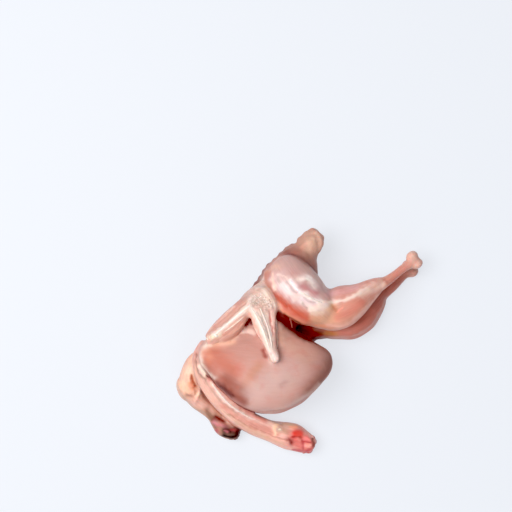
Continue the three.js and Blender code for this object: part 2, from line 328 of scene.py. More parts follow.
def outsideMuscle(points, stations, fullness, roll):
    # At the nearest point of the bone, u and v are how far out a point lies as shares of half the width
    # and half the depth, and place is its share of the bone's length. The surface is where
    # (hypot(u, v)^fullness + |2 place - 1|^fullness)^(1 / fullness) is 1. What comes back is how far
    # that is above 1, the way along the bone and round it in millimetres, and the muscle's size there.
    t = np.linspace(0, 1, formLook["lookedAt"])
    centre, heading, across, above, size = alongBone(stations, roll, t)
    length = lengthOf(centre)
    near = np.argmin((centre**2).sum(1)[None] - 2 * points @ centre.T, axis=1)
    offset = points - centre[near]
    u = (offset * across[near]).sum(1) / size[near, 0]
    v = (offset * above[near]).sum(1) / size[near, 1]
    place = t[near] + (offset * heading[near]).sum(1) / length
    out = (np.hypot(u, v)**fullness + np.abs(2 * place - 1)**fullness)**(1 / fullness)
    return out - 1, place * length, np.arctan2(u, v) * size.mean(), size[near].mean(1)


def makeObject(name, points, faces):
    # One mesh object at the origin, from points in millimetres of the stations' frame.
    mesh = bpy.data.meshes.new(name)
    mesh.from_pydata((points - middle) / 1000, [], faces)
    made = bpy.data.objects.new(name, mesh)
    bpy.context.scene.collection.objects.link(made)
    return made


def makeJoined(name, parts):
    # One object of many closed surfaces.
    points, faces, count = [], [], 0
    for partPoints, partFaces in parts:
        points.append(partPoints)
        faces += [[i + count for i in face] for face in partFaces]
        count += len(partPoints)
    return makeObject(name, np.vstack(points), faces)


def applyModifier(made, kind, **settings):
    # A modifier with these settings, applied to the mesh at once.
    modifier = made.modifiers.new(kind, kind)
    for key, value in settings.items():
        setattr(modifier, key, value)
    with bpy.context.temp_override(object=made, active_object=made):
        bpy.ops.object.modifier_apply(modifier=modifier.name)


def cutAway(made, name, points, faces):
    # The object less a closed surface.
    cutter = makeObject(name, points, faces)
    applyModifier(made, "BOOLEAN", operation="DIFFERENCE", object=cutter, solver="MANIFOLD")
    bpy.data.objects.remove(cutter)


def pointsOf(made):
    # The mesh's points in millimetres of the stations' frame.
    flat = np.empty(len(made.data.vertices) * 3)
    made.data.vertices.foreach_get("co", flat)
    return flat.reshape(-1, 3) * 1000 + middle


def movePoints(made, points):
    # The points, in millimetres of the stations' frame, put back into the mesh.
    made.data.vertices.foreach_set("co", ((points - middle) / 1000).ravel())
    made.data.update()


def quadsOf(made):
    # The four points of each face of a remeshed object.
    flat = np.empty(len(made.data.loops), int)
    made.data.loops.foreach_get("vertex_index", flat)
    return flat.reshape(-1, 4)


def edgesOf(made):
    # The two points of each edge.
    flat = np.empty(len(made.data.edges) * 2, int)
    made.data.edges.foreach_get("vertices", flat)
    return flat.reshape(-1, 2)


def normalsOf(points, quads):
    # Each point's normal is the sum of its faces' normals, the cross product of their diagonals.
    face = np.cross(points[quads[:, 2]] - points[quads[:, 0]], points[quads[:, 3]] - points[quads[:, 1]])
    total = np.stack([np.bincount(quads.ravel(), np.repeat(face[:, k], 4), len(points))
                      for k in range(3)], -1)
    return total / np.maximum(np.linalg.norm(total, axis=1), 1e-12)[:, None]


def meanOfNeighbours(values, edges):
    # For each point the mean of the values at the other ends of its edges.
    both = np.concatenate([edges[:, 0], edges[:, 1]])
    other = np.concatenate([edges[:, 1], edges[:, 0]])
    count = np.maximum(np.bincount(both, minlength=len(values)), 1)
    flat = values.reshape(len(values), -1)
    total = np.stack([np.bincount(both, flat[other, k], len(values))
                      for k in range(flat.shape[1])], -1)
    return (total / count[:, None]).reshape(values.shape)


def smoothed(values, rounds):
    # The carcass's values after some rounds in which each becomes the mean of its neighbours.
    for step in range(rounds):
        values = meanOfNeighbours(values, edges)
    return values


def toPixels(points):
    # Where the photo shows a point: the picture plane is at the table, and what is higher is seen
    # further out.
    half, scale, origin = photo["pixels"] / 2, photo["mmPerPixel"], photo["originPixel"]
    centre = np.array([half - origin[0], origin[1] - half]) * scale
    grown = photo["cameraHeight"] / (photo["cameraHeight"] - points[:, 2:])
    fromCentre = (points[:, :2] - centre) * grown / scale
    return np.stack([half + fromCentre[:, 0], half - fromCentre[:, 1]], -1)


# The carcass

carcassLook = dict(
    voxel=0.585,           # millimetres between the points of the finished mesh
    slab=(200, 50),        # half the width and the depth of what is cut away under the table
    fillRounds=70,         # how far the valleys between the muscles of one limb fill
    rateRounds=3,          # smoothing of how fast they fill
    softRounds=4,          # smoothing over the whole bird
    soften=(0.5, 0.48),    # in and out again in each of those rounds, so that it keeps its size
    lump=0.28, lumpSize=13.0, lumpDraw=3,       # soft unevenness of the flesh
    bundle=0.1, bundleWidth=1.6, bundleDraw=4,   # relief of the bundles that a muscle is made of
    bundleStretch=9.0,     # how many times longer than wide they are
    stringyRounds=4,       # smoothing of how much of that relief each limb shows
    stringy=dict(trunk=0.12, leftLeg=0.35, rightLeg=0.5, neck=0.5, leftWing=0.6, rightWing=0.4),
)
valleyFill = dict(trunk=1.0, leftLeg=0.55, rightLeg=0.5, neck=0.3, leftWing=0.3, rightWing=0.6,
                  between=0.08)
cavityLook = dict(
    size=8.0,              # millimetres, what the cavity's field is scaled by
    wall=(0.3, 1.6),       # millimetres outside the cavity up to which a point is its wall
    ofTrunk=(1.0, 3.0),    # millimetres behind the nearest muscle up to which it is the trunk's
    keep=0.8,              # share of the filling that the wall is spared
)
# where sinew and film run over the join of two limbs: centre and radius in millimetres, and how far
# it fills
joins = dict(
    shoulder=((-40, 0.5, 34), 8, 1.0),
    elbowTop=((-19, 28, 34), 9, 1.0),
    tricepsEdge=((-31, 18, 30), 6, 0.7),
    elbowFront=((-12, 25, 33), 8, 1.0),
    kneeSide=((14, 12, 27), 9, 1.0),
    kneeTop=((15, 20, 30), 9, 1.0),
    thighTop=((-9, 38, 27), 9, 0.8),
    neckRoot=((-43, 0, 22), 8, 0.6),
    forearmSide=((-7.6, 8, 41), 8, 0.45),
)


def makeCarcass():
    # Every muscle's surface, joined by a voxel remesh, the trunk opened first where the bird was drawn,
    # and the whole cut flat underneath.
    remesh = dict(kind="REMESH", mode="VOXEL", voxel_size=carcassLook["voxel"] / 1000)
    surfaces = {limb: [muscleSurface(stations, fullness, rollOf[limb])
                       for fullness, stations in muscles.values()] for limb, muscles in limbs.items()}
    trunk = makeJoined("trunk", surfaces.pop("trunk"))
    applyModifier(trunk, **remesh)
    fullness, stations = cavity
    cutAway(trunk, "hole", *muscleSurface(stations, fullness, rollOf["trunk"]))
    applyModifier(trunk, **remesh)
    parts = [(pointsOf(trunk), quadsOf(trunk).tolist())]
    parts += [part for group in surfaces.values() for part in group]
    bpy.data.objects.remove(trunk)
    made = makeJoined("raw_quail", parts)
    applyModifier(made, **remesh)
    wide, deep = carcassLook["slab"]
    corners = np.array([(x, y, z) for x in (-wide, wide) for y in (-wide, wide) for z in (-deep, 0)],
                       float)
    sides = [(0, 1, 3, 2), (4, 6, 7, 5), (0, 4, 5, 1), (2, 3, 7, 6), (0, 2, 6, 4), (1, 5, 7, 3)]
    cutAway(made, "slab", corners, sides)
    applyModifier(made, **remesh)
    return made


def muscleFields(points):
    # For each muscle and point: how far the point is outside the muscle in about millimetres, how far
    # along the bone it lies, and how far round it.
    found = [outsideMuscle(points, stations, fullness, rollOf[limb])
             for limb, muscles in limbs.items() for fullness, stations in muscles.values()]
    out, along, around, size = (np.array(values) for values in zip(*found))
    return out * size, along, around


def insideCavity(points):
    # 1 on the wall of the drawn cavity and 0 away from it.
    fullness, stations = cavity
    out = outsideMuscle(points, stations, fullness, rollOf["trunk"])[0] * cavityLook["size"]
    behind = byLimb["trunk"] - fields.min(0)
    return (1 - ramp(out, *cavityLook["wall"])) * (1 - ramp(behind, *cavityLook["ofTrunk"]))


def nearJoins(points):
    # How much film runs over each point: exp(-(distance / radius)^2) of the join that does most.
    joined = np.zeros(len(points))
    for centre, radius, full in joins.values():
        near = np.exp(-(((points - centre)**2).sum(1) / radius**2))
        joined = np.maximum(joined, near * full)
    return joined


def growTogether(points, rate):
    # Only what lies below the mean of its neighbours moves, outwards, so valleys fill and ridges stay.
    for step in range(carcassLook["fillRounds"]):
        normal = normalsOf(points, quads)
        depth = ((meanOfNeighbours(points, edges) - points) * normal).sum(1)
        points = points + normal * (np.maximum(depth, 0) * rate)[:, None]
    into, back = carcassLook["soften"]
    for step in range(carcassLook["softRounds"]):
        points = points + (meanOfNeighbours(points, edges) - points) * into
        points = points - (meanOfNeighbours(points, edges) - points) * back
    return points


carcass = makeCarcass()
quads, edges = quadsOf(carcass), edgesOf(carcass)
points = pointsOf(carcass)
each = np.arange(len(points))
print("carcass remeshed:", len(points), "points")

fields, along, around = muscleFields(points)
limbOf = np.array([list(limbs).index(limb) for limb, name in muscleNames])
byLimb = {limb: fields[limbOf == k].min(0) for k, limb in enumerate(limbs)}
owner = fields.argmin(0)
others = np.where(np.arange(len(fields))[:, None] == owner[None], np.inf, fields)
second = others.argmin(0)
sameLimb = limbOf[owner] == limbOf[second]
joined = nearJoins(points)
inside = insideCavity(points)
fillOf = np.array([valleyFill[limb] for limb in limbs])
rate = np.where(sameLimb, fillOf[limbOf[owner]], valleyFill["between"])
rate = smoothed(np.maximum(rate, joined), carcassLook["rateRounds"])
points = growTogether(points, rate * (1 - cavityLook["keep"] * inside))
points[:, 2] = np.maximum(points[:, 2], 0)
print("muscles grown together")


# Marks that the photo shows, as paths in its pixels: how far they spread, a colour and how much of it,
# or a film of white fascia, of fat or of blood, how rough it is, and how far it rises in millimetres.
# A soft mark fades out as broadly as a wide one where the flesh turns away.
# Some marks are painted light: painted shade in gaps, hollows and beside raised parts, and painted
# highlight or sheen on ridges, rims and wet film, as the comment at each says.
marks = dict(
    leftWing=dict(
        armOuter=dict(path=[(206, 335), (220, 321), (234, 308), (244, 298)], width=3.6,
                      colour="#cd978b", much=0.75),
        outerEdge=dict(path=[(207, 332), (221, 318.5), (234, 306.5)], width=1.1, colour="#efc8bb",
                       much=0.7, rise=0.15),
        upperGroove=dict(path=[(214, 332), (224, 323.5), (234, 314), (246, 303)], width=1.0,
                         colour="#c08d80", much=0.6, rise=-0.2),
        humerusRidge=dict(path=[(214, 335), (223, 328), (232, 320), (241, 312.5), (249, 306)],
                          width=2.3, fascia=0.9, rise=0.25),
        bicepsFlesh=dict(path=[(225, 334), (235, 327), (246, 318)], width=3.2, colour="#c68c7e",
                         much=0.85),
        bicepsLines=dict(path=[(224, 332), (233, 325.5), (243, 317)], width=0.8, colour="#f3cbb9",
                         much=0.75, rise=0.1),
        bicepsEdge=dict(path=[(229, 335), (239, 328.5), (246, 321)], width=0.9, colour="#ecb6a2",
                        much=0.6, rise=0.1),
        shoulderPeach=dict(path=[(203, 338), (210, 337.5)], width=3, colour="#f6c8af", much=0.8),
        shoulderFat=dict(path=[(213, 337), (220, 333)], width=3, fat=0.6, fascia=0.5, rise=0.25),
        elbowWhite=dict(path=[(250, 303), (252, 298), (256, 300)], width=3.4, fascia=0.95, rise=0.25),
        elbowFilm=dict(path=[(246, 297), (254, 291), (262, 287)], width=4, colour="#c7a297", much=0.7),
        elbowTop=dict(path=[(256, 288), (262, 286)], width=2.2, fascia=0.6),
        elbowRough=dict(path=[(256, 301), (262, 301), (268, 306)], width=6.5, rough=1.0, fascia=0.35),
        elbowSpeck=dict(path=[(254, 302), (257, 303)], width=1.6, colour="#a08e82", much=0.7,
                        rise=-0.3),
        forearmStrand=dict(path=[(251, 308), (257, 317), (262.5, 328), (266, 339), (270, 351)],
                           width=3.0, fascia=1.0, rise=0.2),
        forearmFlesh=dict(path=[(249.5, 314), (254, 322), (259, 331), (262.5, 341)], width=1.8,
                          colour="#e6ae9d", much=0.85),
        forearmLine=dict(path=[(257, 312), (262, 320), (266, 329), (269, 338)], width=0.8,
                         colour="#8d8178", much=0.85, rise=-0.3),
        forearmLineTwo=dict(path=[(254, 314), (259, 322), (263, 330)], width=0.6, colour="#b3a59b",
                            much=0.7, rise=-0.2),
        forearmLineLow=dict(path=[(265, 338), (267.5, 345), (269.5, 351)], width=0.6, colour="#b9a79d",
                            much=0.7, rise=-0.2),
        lilacStrand=dict(path=[(265, 316), (269.5, 328), (271.5, 340)], width=1.4, fascia=0.8,
                         rise=0.15),
        darkGroove=dict(path=[(269, 311), (271, 322), (273, 334)], width=1.2, colour="#c06f68",
                        much=0.85, rise=-0.35),
        outerStrand=dict(path=[(272.5, 309), (275.6, 320), (275.4, 334), (275.6, 346)], width=1.5,
                         colour="#f2c4b7", much=0.9, rise=0.2),
        flankGlow=dict(path=[(264, 291), (269, 300), (276, 306)], width=3, colour="#ffe9dc", much=0.9),
        tipPink=dict(path=[(268.5, 350), (272, 354)], width=2.2, colour="#e2a09e", much=0.75),
        tipKnob=dict(path=[(274, 355), (276, 357)], width=3.4, colour="#fbdcd6", much=0.9, rise=0.15),
        tipShade=dict(path=[(265.5, 350), (268, 357)], width=1.2, colour="#a8504a", much=0.6),
    ),
    trunk=dict(
        backFilm=dict(path=[(247, 298), (256, 285), (264, 271)], width=5, colour="#b08a7f", much=0.6),
        flank=dict(path=[(263, 277), (266, 289), (272, 299), (280, 307)], width=3.6, colour="#ffe8da",
                   much=0.95),
        backRough=dict(path=[(258, 300), (266, 297), (272, 305)], width=5, rough=0.45),
        # partly a pale edge of the muscle, partly painted highlight along the shoulder
        shoulderRim=dict(path=[(213, 341), (224, 338.5), (235, 336.6), (244, 331)], width=1.5,
                         colour="#f2cbb8", much=0.8, rise=0.3),
        paleTop=dict(path=[(208, 343), (220, 344), (232, 341)], width=4, colour="#ecbca2", much=0.6),
        rimLine=dict(path=[(195.5, 354), (195, 364), (199, 374), (206, 380)], width=1.0,
                     colour="#a17c72", much=0.8, rise=-0.3),
        # partly a pale edge of the muscle, partly painted highlight on the breast's front
        frontRim=dict(path=[(209, 343), (203, 353), (201.5, 363), (203.5, 370.5), (209, 375.5),
                            (214, 378)], width=3, colour="#fff0e2", much=0.95, rise=0.25),
        warmFront=dict(path=[(213, 357), (223, 363), (233, 370)], width=12, colour="#b85f48",
                       much=0.78),
        warmSpot=dict(path=[(207, 352), (209, 357)], width=5, colour="#e8a284", much=0.35),
        warmEdge=dict(path=[(243, 388), (251, 376), (259, 366)], width=5, colour="#bf7c5b", much=0.5),
        # painted shade on the breast's lower front, beside the neck
        foldShade=dict(path=[(226, 379), (236, 386), (248, 396)], width=6.5, colour="#8f4a3c", much=0.8),
        rosyRight=dict(path=[(284, 340), (296, 350), (306, 356)], width=11, colour="#d4a899",
                       much=0.65),
        paleBelly=dict(path=[(254, 396), (272, 382), (292, 374)], width=14, colour="#cdaaa3",
                       much=0.85),
        paleUpper=dict(path=[(276, 362), (290, 366)], width=8, colour="#c9a09a", much=0.6),
        greySpot=dict(path=[(281, 385), (285, 382.5)], width=3, colour="#b08d88", much=0.5),
        # painted shade along the breast's far side, turned away from the light
        rightEdgeShade=dict(path=[(327, 338), (336, 350), (333, 366), (322, 382), (312, 391)], width=10,
                       colour="#76361f", much=0.7),
        lowEdge=dict(path=[(256, 414), (284, 408), (304, 398), (319, 385)], width=2.8, colour="#dcb9ae",
                     much=0.6),
        # painted shade where the breast meets the neck, darkest close to the neck
        neckShade=dict(path=[(211, 380), (217, 384), (226, 389.5), (236, 396.5), (244, 402)], width=4.8,
                       colour="#84392a", much=0.75),
        neckDeepShade=dict(path=[(209, 378), (214.5, 382.5), (223, 389), (232, 395.5)], width=2.8,
                      colour="#5a1a13", much=0.85, soft=True),
        neckWarm=dict(path=[(205, 377), (213, 380.5)], width=2.4, colour="#a5503c", much=0.7),
        membrane=dict(path=[(240, 331.5), (248, 331), (256, 333)], width=2.8, fascia=0.7, rise=0.1),
        # painted shade in the gap between upper arm and forearm, laid as blood
        wingGap=dict(path=[(245, 324), (249.5, 318), (252, 323)], width=2.6, blood=2.0),
        # painted shade on the breast along the forearm's edge
        wingSideShade=dict(path=[(256, 330), (261, 340), (264.5, 350)], width=1.8, colour="#a85a4e",
                      much=0.6),
        # painted shadow of the forearm's tip on the breast
        tipShadow=dict(path=[(263.5, 350), (266, 357)], width=2.4, colour="#8f362f", much=0.8),
        # painted light: lifts the shadow that the forearm casts on the breast
        litBesideForearm=dict(path=[(278.5, 318), (280, 331), (281, 345)], width=2.6, colour="#f2c4b3",
                        much=0.8),
        # partly blood, partly painted shade: the dark gap between thigh and breast
        gapRed=dict(path=[(275, 314), (282, 318), (289, 321)], width=4.0, blood=2.0),
        gapDark=dict(path=[(292, 322), (301, 328), (310, 332), (318, 334)], width=7, blood=1.5),
        gapFloor=dict(path=[(299, 333), (308, 337.5), (317, 341)], width=3.4, blood=1.1),
        gapBrown=dict(path=[(279, 320), (289, 327), (297, 333), (306, 337.5)], width=3.2,
                      colour="#5a130e", much=0.85),
    ),
    leftLeg=dict(
        topPeach=dict(path=[(266, 272), (272, 267), (280, 267)], width=2.6, colour="#deb29d", much=0.7),
        stripUpper=dict(path=[(266.5, 274), (267.5, 285), (273, 294)], width=3.4, colour="#bd7a69",
                        much=0.85),
        stripLower=dict(path=[(277, 297), (286, 305), (296, 312), (307, 317.5)], width=5.6,
                        colour="#c4604c", much=0.95),
        stripRim=dict(path=[(271, 301), (280, 309.4), (291, 317), (304, 323), (318, 326.5), (332, 327)],
                      width=2.3, colour="#e0977d", much=0.85),
        # painted shade under the thigh's lower rim, where the gap begins
        rimUnderShade=dict(path=[(284, 314.5), (293, 320), (303, 325), (312, 328.5)], width=1.4,
                      colour="#5c1a14", much=0.8),
        rimLight=dict(path=[(272, 301), (277, 306)], width=2.4, colour="#f7bfa8", much=0.8),
        kneeGlow=dict(path=[(316, 319), (326, 319), (336, 316)], width=6, colour="#dda587", much=0.8),
        kneeTan=dict(path=[(328, 309), (333, 305)], width=3.6, colour="#f8c8a2", much=0.75),
        # partly a pale film, partly painted sheen of the wet thigh
        thighFilmSheen=dict(path=[(276, 279), (284, 288), (294, 295), (306, 300), (318, 305)], width=6.5,
                       colour="#e6cdce", much=0.85),
        thighMauve=dict(path=[(284, 270), (298, 273), (310, 281), (320, 290)], width=6,
                        colour="#c9a19d", much=0.75),
        whiteBar=dict(path=[(272.8, 274), (273.4, 282), (275.6, 289.5)], width=1.6, colour="#f6d2c3",
                      much=0.9, rise=0.2),
        dullPatch=dict(path=[(278.5, 280), (281.5, 286)], width=2.4, colour="#bb9e95", much=0.7),
        creamStreak=dict(path=[(277, 275), (283, 276), (288.5, 279.5)], width=1.2, fascia=0.55),
        # partly white fascia, partly painted highlight: the bright bands across the thigh
        brightBand=dict(path=[(290, 280), (294, 285), (298, 290), (303, 293)], width=2.7,
                        colour="#f8ebec", much=0.9, rise=0.2),
        secondBand=dict(path=[(282, 285.5), (288, 291), (295, 296), (300, 297)], width=3.8,
                        colour="#f4e2e2", much=0.85, fascia=0.3, rise=0.15),
        thirdBand=dict(path=[(302, 293), (309, 297), (316, 301), (323, 303)], width=1.8,
                       colour="#faeeea", much=0.9, fascia=0.6, rise=0.2),
        fourthBand=dict(path=[(295, 299.5), (303, 303.5), (310, 306)], width=2, colour="#ecd4ce",
                        much=0.7),
        greyLine=dict(path=[(287, 282), (291.5, 288), (297, 293)], width=1.1, colour="#96807f",
                      much=0.45, rise=-0.12),
        greyLineTop=dict(path=[(295.5, 279), (299, 285), (303, 290)], width=1.1, colour="#a98a87",
                         much=0.45, rise=-0.12),
        greyLineLow=dict(path=[(302.5, 296.5), (308.5, 301), (315, 303.5)], width=1.1, colour="#9a8177",
                         much=0.45, rise=-0.12),
        greyLineKnee=dict(path=[(302.5, 303.5), (307.5, 307.5), (312, 311)], width=1.1,
                          colour="#84695c", much=0.45, rise=-0.12),
        mauvePatch=dict(path=[(302, 285.5), (309, 289), (316, 293)], width=3.2, colour="#bf8387",
                        much=0.85),
        # partly white fascia, partly painted highlight
        whitePatch=dict(path=[(299, 279), (307, 277.5), (312, 281), (315, 286)], width=4,
                        colour="#f0d9d4", much=0.75, rough=0.2, rise=0.1),
        whitePatchCore=dict(path=[(302, 279), (308, 278.5), (313, 283)], width=2.4, colour="#ffefe9",
                            much=0.85),
        kneeFat=dict(path=[(311, 309), (318, 307.8), (326, 305)], width=3.4, fascia=1.0, fat=0.3,
                     rise=0.25),
        kneeUnder=dict(path=[(312, 313.5), (322, 312.5)], width=2.6, colour="#e9c9b4", much=0.7),
        rightRim=dict(path=[(306, 267), (316, 277), (325, 287)], width=2, colour="#dfb0a3", much=0.7),
        drumUpper=dict(path=[(328, 294), (342, 291), (356, 286)], width=4.2, colour="#e4acaa",
                       much=0.8),
        drumTopEdge=dict(path=[(330, 288.5), (350, 284.5), (368, 279)], width=1.6, colour="#c8968d",
                         much=0.6),
        # partly a pale crest, partly painted highlight along the drumstick's ridge
        drumRidgeHighlight=dict(path=[(320, 303.5), (330, 302), (340, 301), (350, 298.3), (358, 294),
                             (366, 288.5)], width=1.9, colour="#fee2d6", much=0.95, fascia=0.45,
                       rise=0.25),
        drumMiddle=dict(path=[(342, 306), (354, 302), (366, 293)], width=3.4, colour="#df9b89",
                        much=0.7),
        # painted light: the drumstick's far end lightened where it turns from the light
        drumRightLit=dict(path=[(361, 293), (371, 288), (381, 284)], width=4.6, colour="#ffdccd",
                       much=0.85),
        drumSpot=dict(path=[(333.5, 307), (336.5, 311)], width=2.2, colour="#c57f62", much=0.8,
                      rise=-0.15),
        drumSpotLine=dict(path=[(337.5, 312), (342, 308.5)], width=1.0, colour="#ffab9a", much=0.9,
                          rise=0.1),
        drumLow=dict(path=[(338, 317), (350, 312), (361, 303)], width=4.4, colour="#d58576", much=0.8),
        drumEdge=dict(path=[(328, 326), (344, 325), (356, 318), (366, 308), (378, 296)], width=1.8,
                      colour="#eab5a4", much=0.8),
        shankPale=dict(path=[(372, 288), (382, 281), (392, 274)], width=2.2, colour="#dba08e",
                       much=0.6),
        shankSpot=dict(path=[(384, 280), (387, 283)], width=1.6, colour="#c17a6d", much=0.7),
    ),
    rightLeg=dict(
        # partly blood, partly painted shade: the gap under the near leg
        farNearShade=dict(path=[(296, 330), (303, 332)], width=3.6, blood=0.95),
        farGapShade=dict(path=[(309, 332.5), (315, 333.5), (322, 334)], width=3.2, colour="#8a3d33",
                    much=0.9),
        farKnee=dict(path=[(327, 333.5), (336, 334)], width=3.6, colour="#c98a55", much=0.85),
        farRed=dict(path=[(340, 333), (352, 330), (364, 323), (372, 312)], width=4, colour="#d38577",
                    much=0.7),
        farEdge=dict(path=[(322, 338.5), (340, 338), (356, 334.5), (369, 327.5), (378, 316),
                           (386, 298)], width=1.8, colour="#c59a94", much=0.8),
    ),
    neck=dict(
        outerBand=dict(path=[(193, 366), (202, 385), (213, 401), (227, 415), (245, 427.5), (266, 438)],
                       width=3.2, colour="#e9b9a7", much=0.8),
        # partly a pale edge, partly painted highlight
        frontRim=dict(path=[(206, 346), (201, 357), (201, 367), (205, 375)], width=2.4,
                      colour="#ffe0ce", much=0.95, rise=0.25),
        rimLine=dict(path=[(195.5, 354), (195, 364), (199, 374), (206, 380)], width=1.0,
                     colour="#a17c72", much=0.8, rise=-0.3),
        greyLine=dict(path=[(203, 378), (213, 392), (224, 404), (238, 415)], width=1.5,
                      colour="#bf9684", much=0.6, rise=-0.15),
        rose=dict(path=[(222, 405), (233, 414), (246, 421), (262, 427.5), (271, 431)], width=3,
                  colour="#df9a8b", much=0.65),
        saltedStrip=dict(path=[(210, 380), (222, 392), (234, 401), (250, 413), (266, 421)], width=2.4,
                         colour="#d98f84", much=0.85),
        # partly a pale ridge, partly painted highlight along the neck
        paleRidgeSheen=dict(path=[(211, 382), (220, 394.5), (231, 405.5), (243, 413.5), (254, 420)],
                       width=1.5, colour="#f9cfc2", much=0.95, fascia=0.4, rise=0.3),
        lowerLine=dict(path=[(230, 415), (246, 425), (262, 431.5), (278, 437.5), (289, 441)], width=0.9,
                       colour="#b06a56", much=0.65, rise=-0.25),
        lowerCream=dict(path=[(236, 423), (254, 432), (272, 439.5), (284, 443.5)], width=2.2,
                        colour="#d3a792", much=0.7),
        lowerRose=dict(path=[(252, 425.5), (267, 430.5), (277, 434)], width=3, colour="#cc8b7e",
                       much=0.75),
        speck=dict(path=[(228, 415), (230, 417)], width=1.0, colour="#b3917a", much=0.5),
        edgeShade=dict(path=[(208, 375), (220, 385), (234, 395.5), (246, 405.5)], width=1.9, blood=1.1),
        ring=dict(path=[(278, 424.6), (274.4, 428), (275.4, 433.6)], width=1.9, colour="#fcd0b2",
                  much=0.95, rise=0.35),
        ringInside=dict(path=[(279.5, 428.5), (287, 432)], width=3.2, colour="#c4a38b", much=0.8,
                        rise=-0.1),
        ringGlint=dict(path=[(279, 428.5), (280, 429.2)], width=0.9, colour="#fff2e2", much=0.95,
                       rise=0.2),
        topBeige=dict(path=[(283, 423.6), (296, 423)], width=1.6, colour="#dfbd9f", much=0.75),
        cutBase=dict(path=[(296, 438), (304, 444), (310, 447)], width=8.5, colour="#cf5c5a", much=0.95),
        cutPeach=dict(path=[(291.5, 427), (296.5, 427)], width=2.2, colour="#fbb698", much=0.85,
                      rise=0.25),
        cutRed=dict(path=[(296, 433.2), (300, 434)], width=4, colour="#e2453b", much=0.95, rise=0.45),
        cutDeep=dict(path=[(292, 436.6), (301, 437)], width=1.3, colour="#a31f1c", much=0.9, rise=-0.4),
        cutDark=dict(path=[(289, 440), (291.5, 443)], width=2.4, colour="#7d1412", much=0.95,
                     rise=-0.4),
        cutLight=dict(path=[(297.5, 439), (299.5, 440)], width=1.8, colour="#f59b93", much=0.9,
                      rise=0.35),
        cutPink=dict(path=[(297, 444), (301, 446)], width=3, colour="#d97e76", much=0.8, rise=0.2),
        cutUpper=dict(path=[(306, 437.5), (308.5, 440)], width=2.6, colour="#f7918d", much=0.95,
                      rise=0.45),
        cutLower=dict(path=[(306.5, 445.4), (309, 445.6)], width=2.4, colour="#fbb0a2", much=0.95,
                      rise=0.45),
        cutGroove=dict(path=[(302.5, 440.5), (306, 441.6), (310.5, 442.8)], width=0.9, colour="#b02c36",
                       much=0.7, rise=-0.4),
        cutGrooveLow=dict(path=[(303.6, 443), (303, 449)], width=0.8, colour="#ac3c48", much=0.6,
                          rise=-0.3),
        cutEdge=dict(path=[(312, 439), (313.4, 446)], width=1.6, colour="#7d4a3e", much=0.85),
        cutFoot=dict(path=[(293, 449.5), (302, 451), (309, 450)], width=1.5, colour="#b9545e",
                     much=0.8),
    ),
    rightWing=dict(
        lobeTop=dict(path=[(190, 370), (187, 380)], width=6, colour="#fbd3bb", much=0.85, rise=0.2),
        lobeLeft=dict(path=[(182, 385), (187, 391)], width=4.6, colour="#fac6aa", much=0.85, rise=0.35),
        leftEdge=dict(path=[(177, 374), (177.5, 386), (182, 396)], width=1.8, colour="#c39f92",
                      much=0.7),
        orangeSide=dict(path=[(190, 383), (193.5, 389)], width=2.4, colour="#f0a281", much=0.8),
        # painted shade in the fold of the wing's stump
        creaseShade=dict(path=[(190.8, 375.5), (192.8, 381), (195.2, 387)], width=1.8, colour="#a8451f",
                    much=1.0, rise=-0.8),
        dimple=dict(path=[(187, 395.5), (192.5, 396)], width=2.2, colour="#a87468", much=0.8,
                    rise=-0.4),
        tendon=dict(path=[(199.4, 386), (198.4, 393), (196, 401)], width=1.8, colour="#fdd6c2",
                    much=0.95, rise=0.8),
        tendonLeft=dict(path=[(193, 391.5), (194.4, 397), (195.4, 401)], width=1.3, colour="#f2bfa7",
                        much=0.9, rise=0.6),
        # painted shade in the hollow beside the tendon
        recessShade=dict(path=[(202, 391), (205, 396), (209, 402)], width=2, colour="#97443a", much=0.85,
                    rise=-0.3),
        pinkBody=dict(path=[(191, 402), (202, 405), (210, 409)], width=4.6, colour="#d8aca0",
                      much=0.85),
        greyEdge=dict(path=[(183, 398), (193, 408.5), (204, 413)], width=1.8, colour="#b5978a",
                      much=0.7),
        brownPart=dict(path=[(207, 410), (211, 417), (216, 426)], width=3.2, colour="#866250",
                       much=0.85),
        redTop=dict(path=[(215, 417), (224, 421.5)], width=2.8, colour="#66090d", much=1.0, rise=-0.2),
        pinkBand=dict(path=[(213, 422), (221, 425.5), (227, 427.5)], width=2, colour="#cb848a",
                      much=0.9, rise=0.3),
        darkMain=dict(path=[(226, 430), (238, 431)], width=4.6, colour="#300306", much=1.0),
        purpleSide=dict(path=[(217, 430), (218, 437)], width=2.4, colour="#b25c68", much=0.9, rise=0.2),
        nearBlack=dict(path=[(223, 435), (231, 436.5), (238, 435)], width=2.2, colour="#180103",
                       much=1.0, rise=-0.2),
        darkEnd=dict(path=[(237, 428), (241, 433), (237.5, 438.5)], width=3.4, colour="#4a0d12",
                     much=1.0),
        fleckOne=dict(path=[(231, 429), (235, 430.5)], width=1.0, colour="#9c3038", much=0.8,
                      rise=0.25),
        fleckTwo=dict(path=[(225, 430), (227.5, 432)], width=0.9, colour="#c27079", much=0.8,
                      rise=0.25),
    ),
)

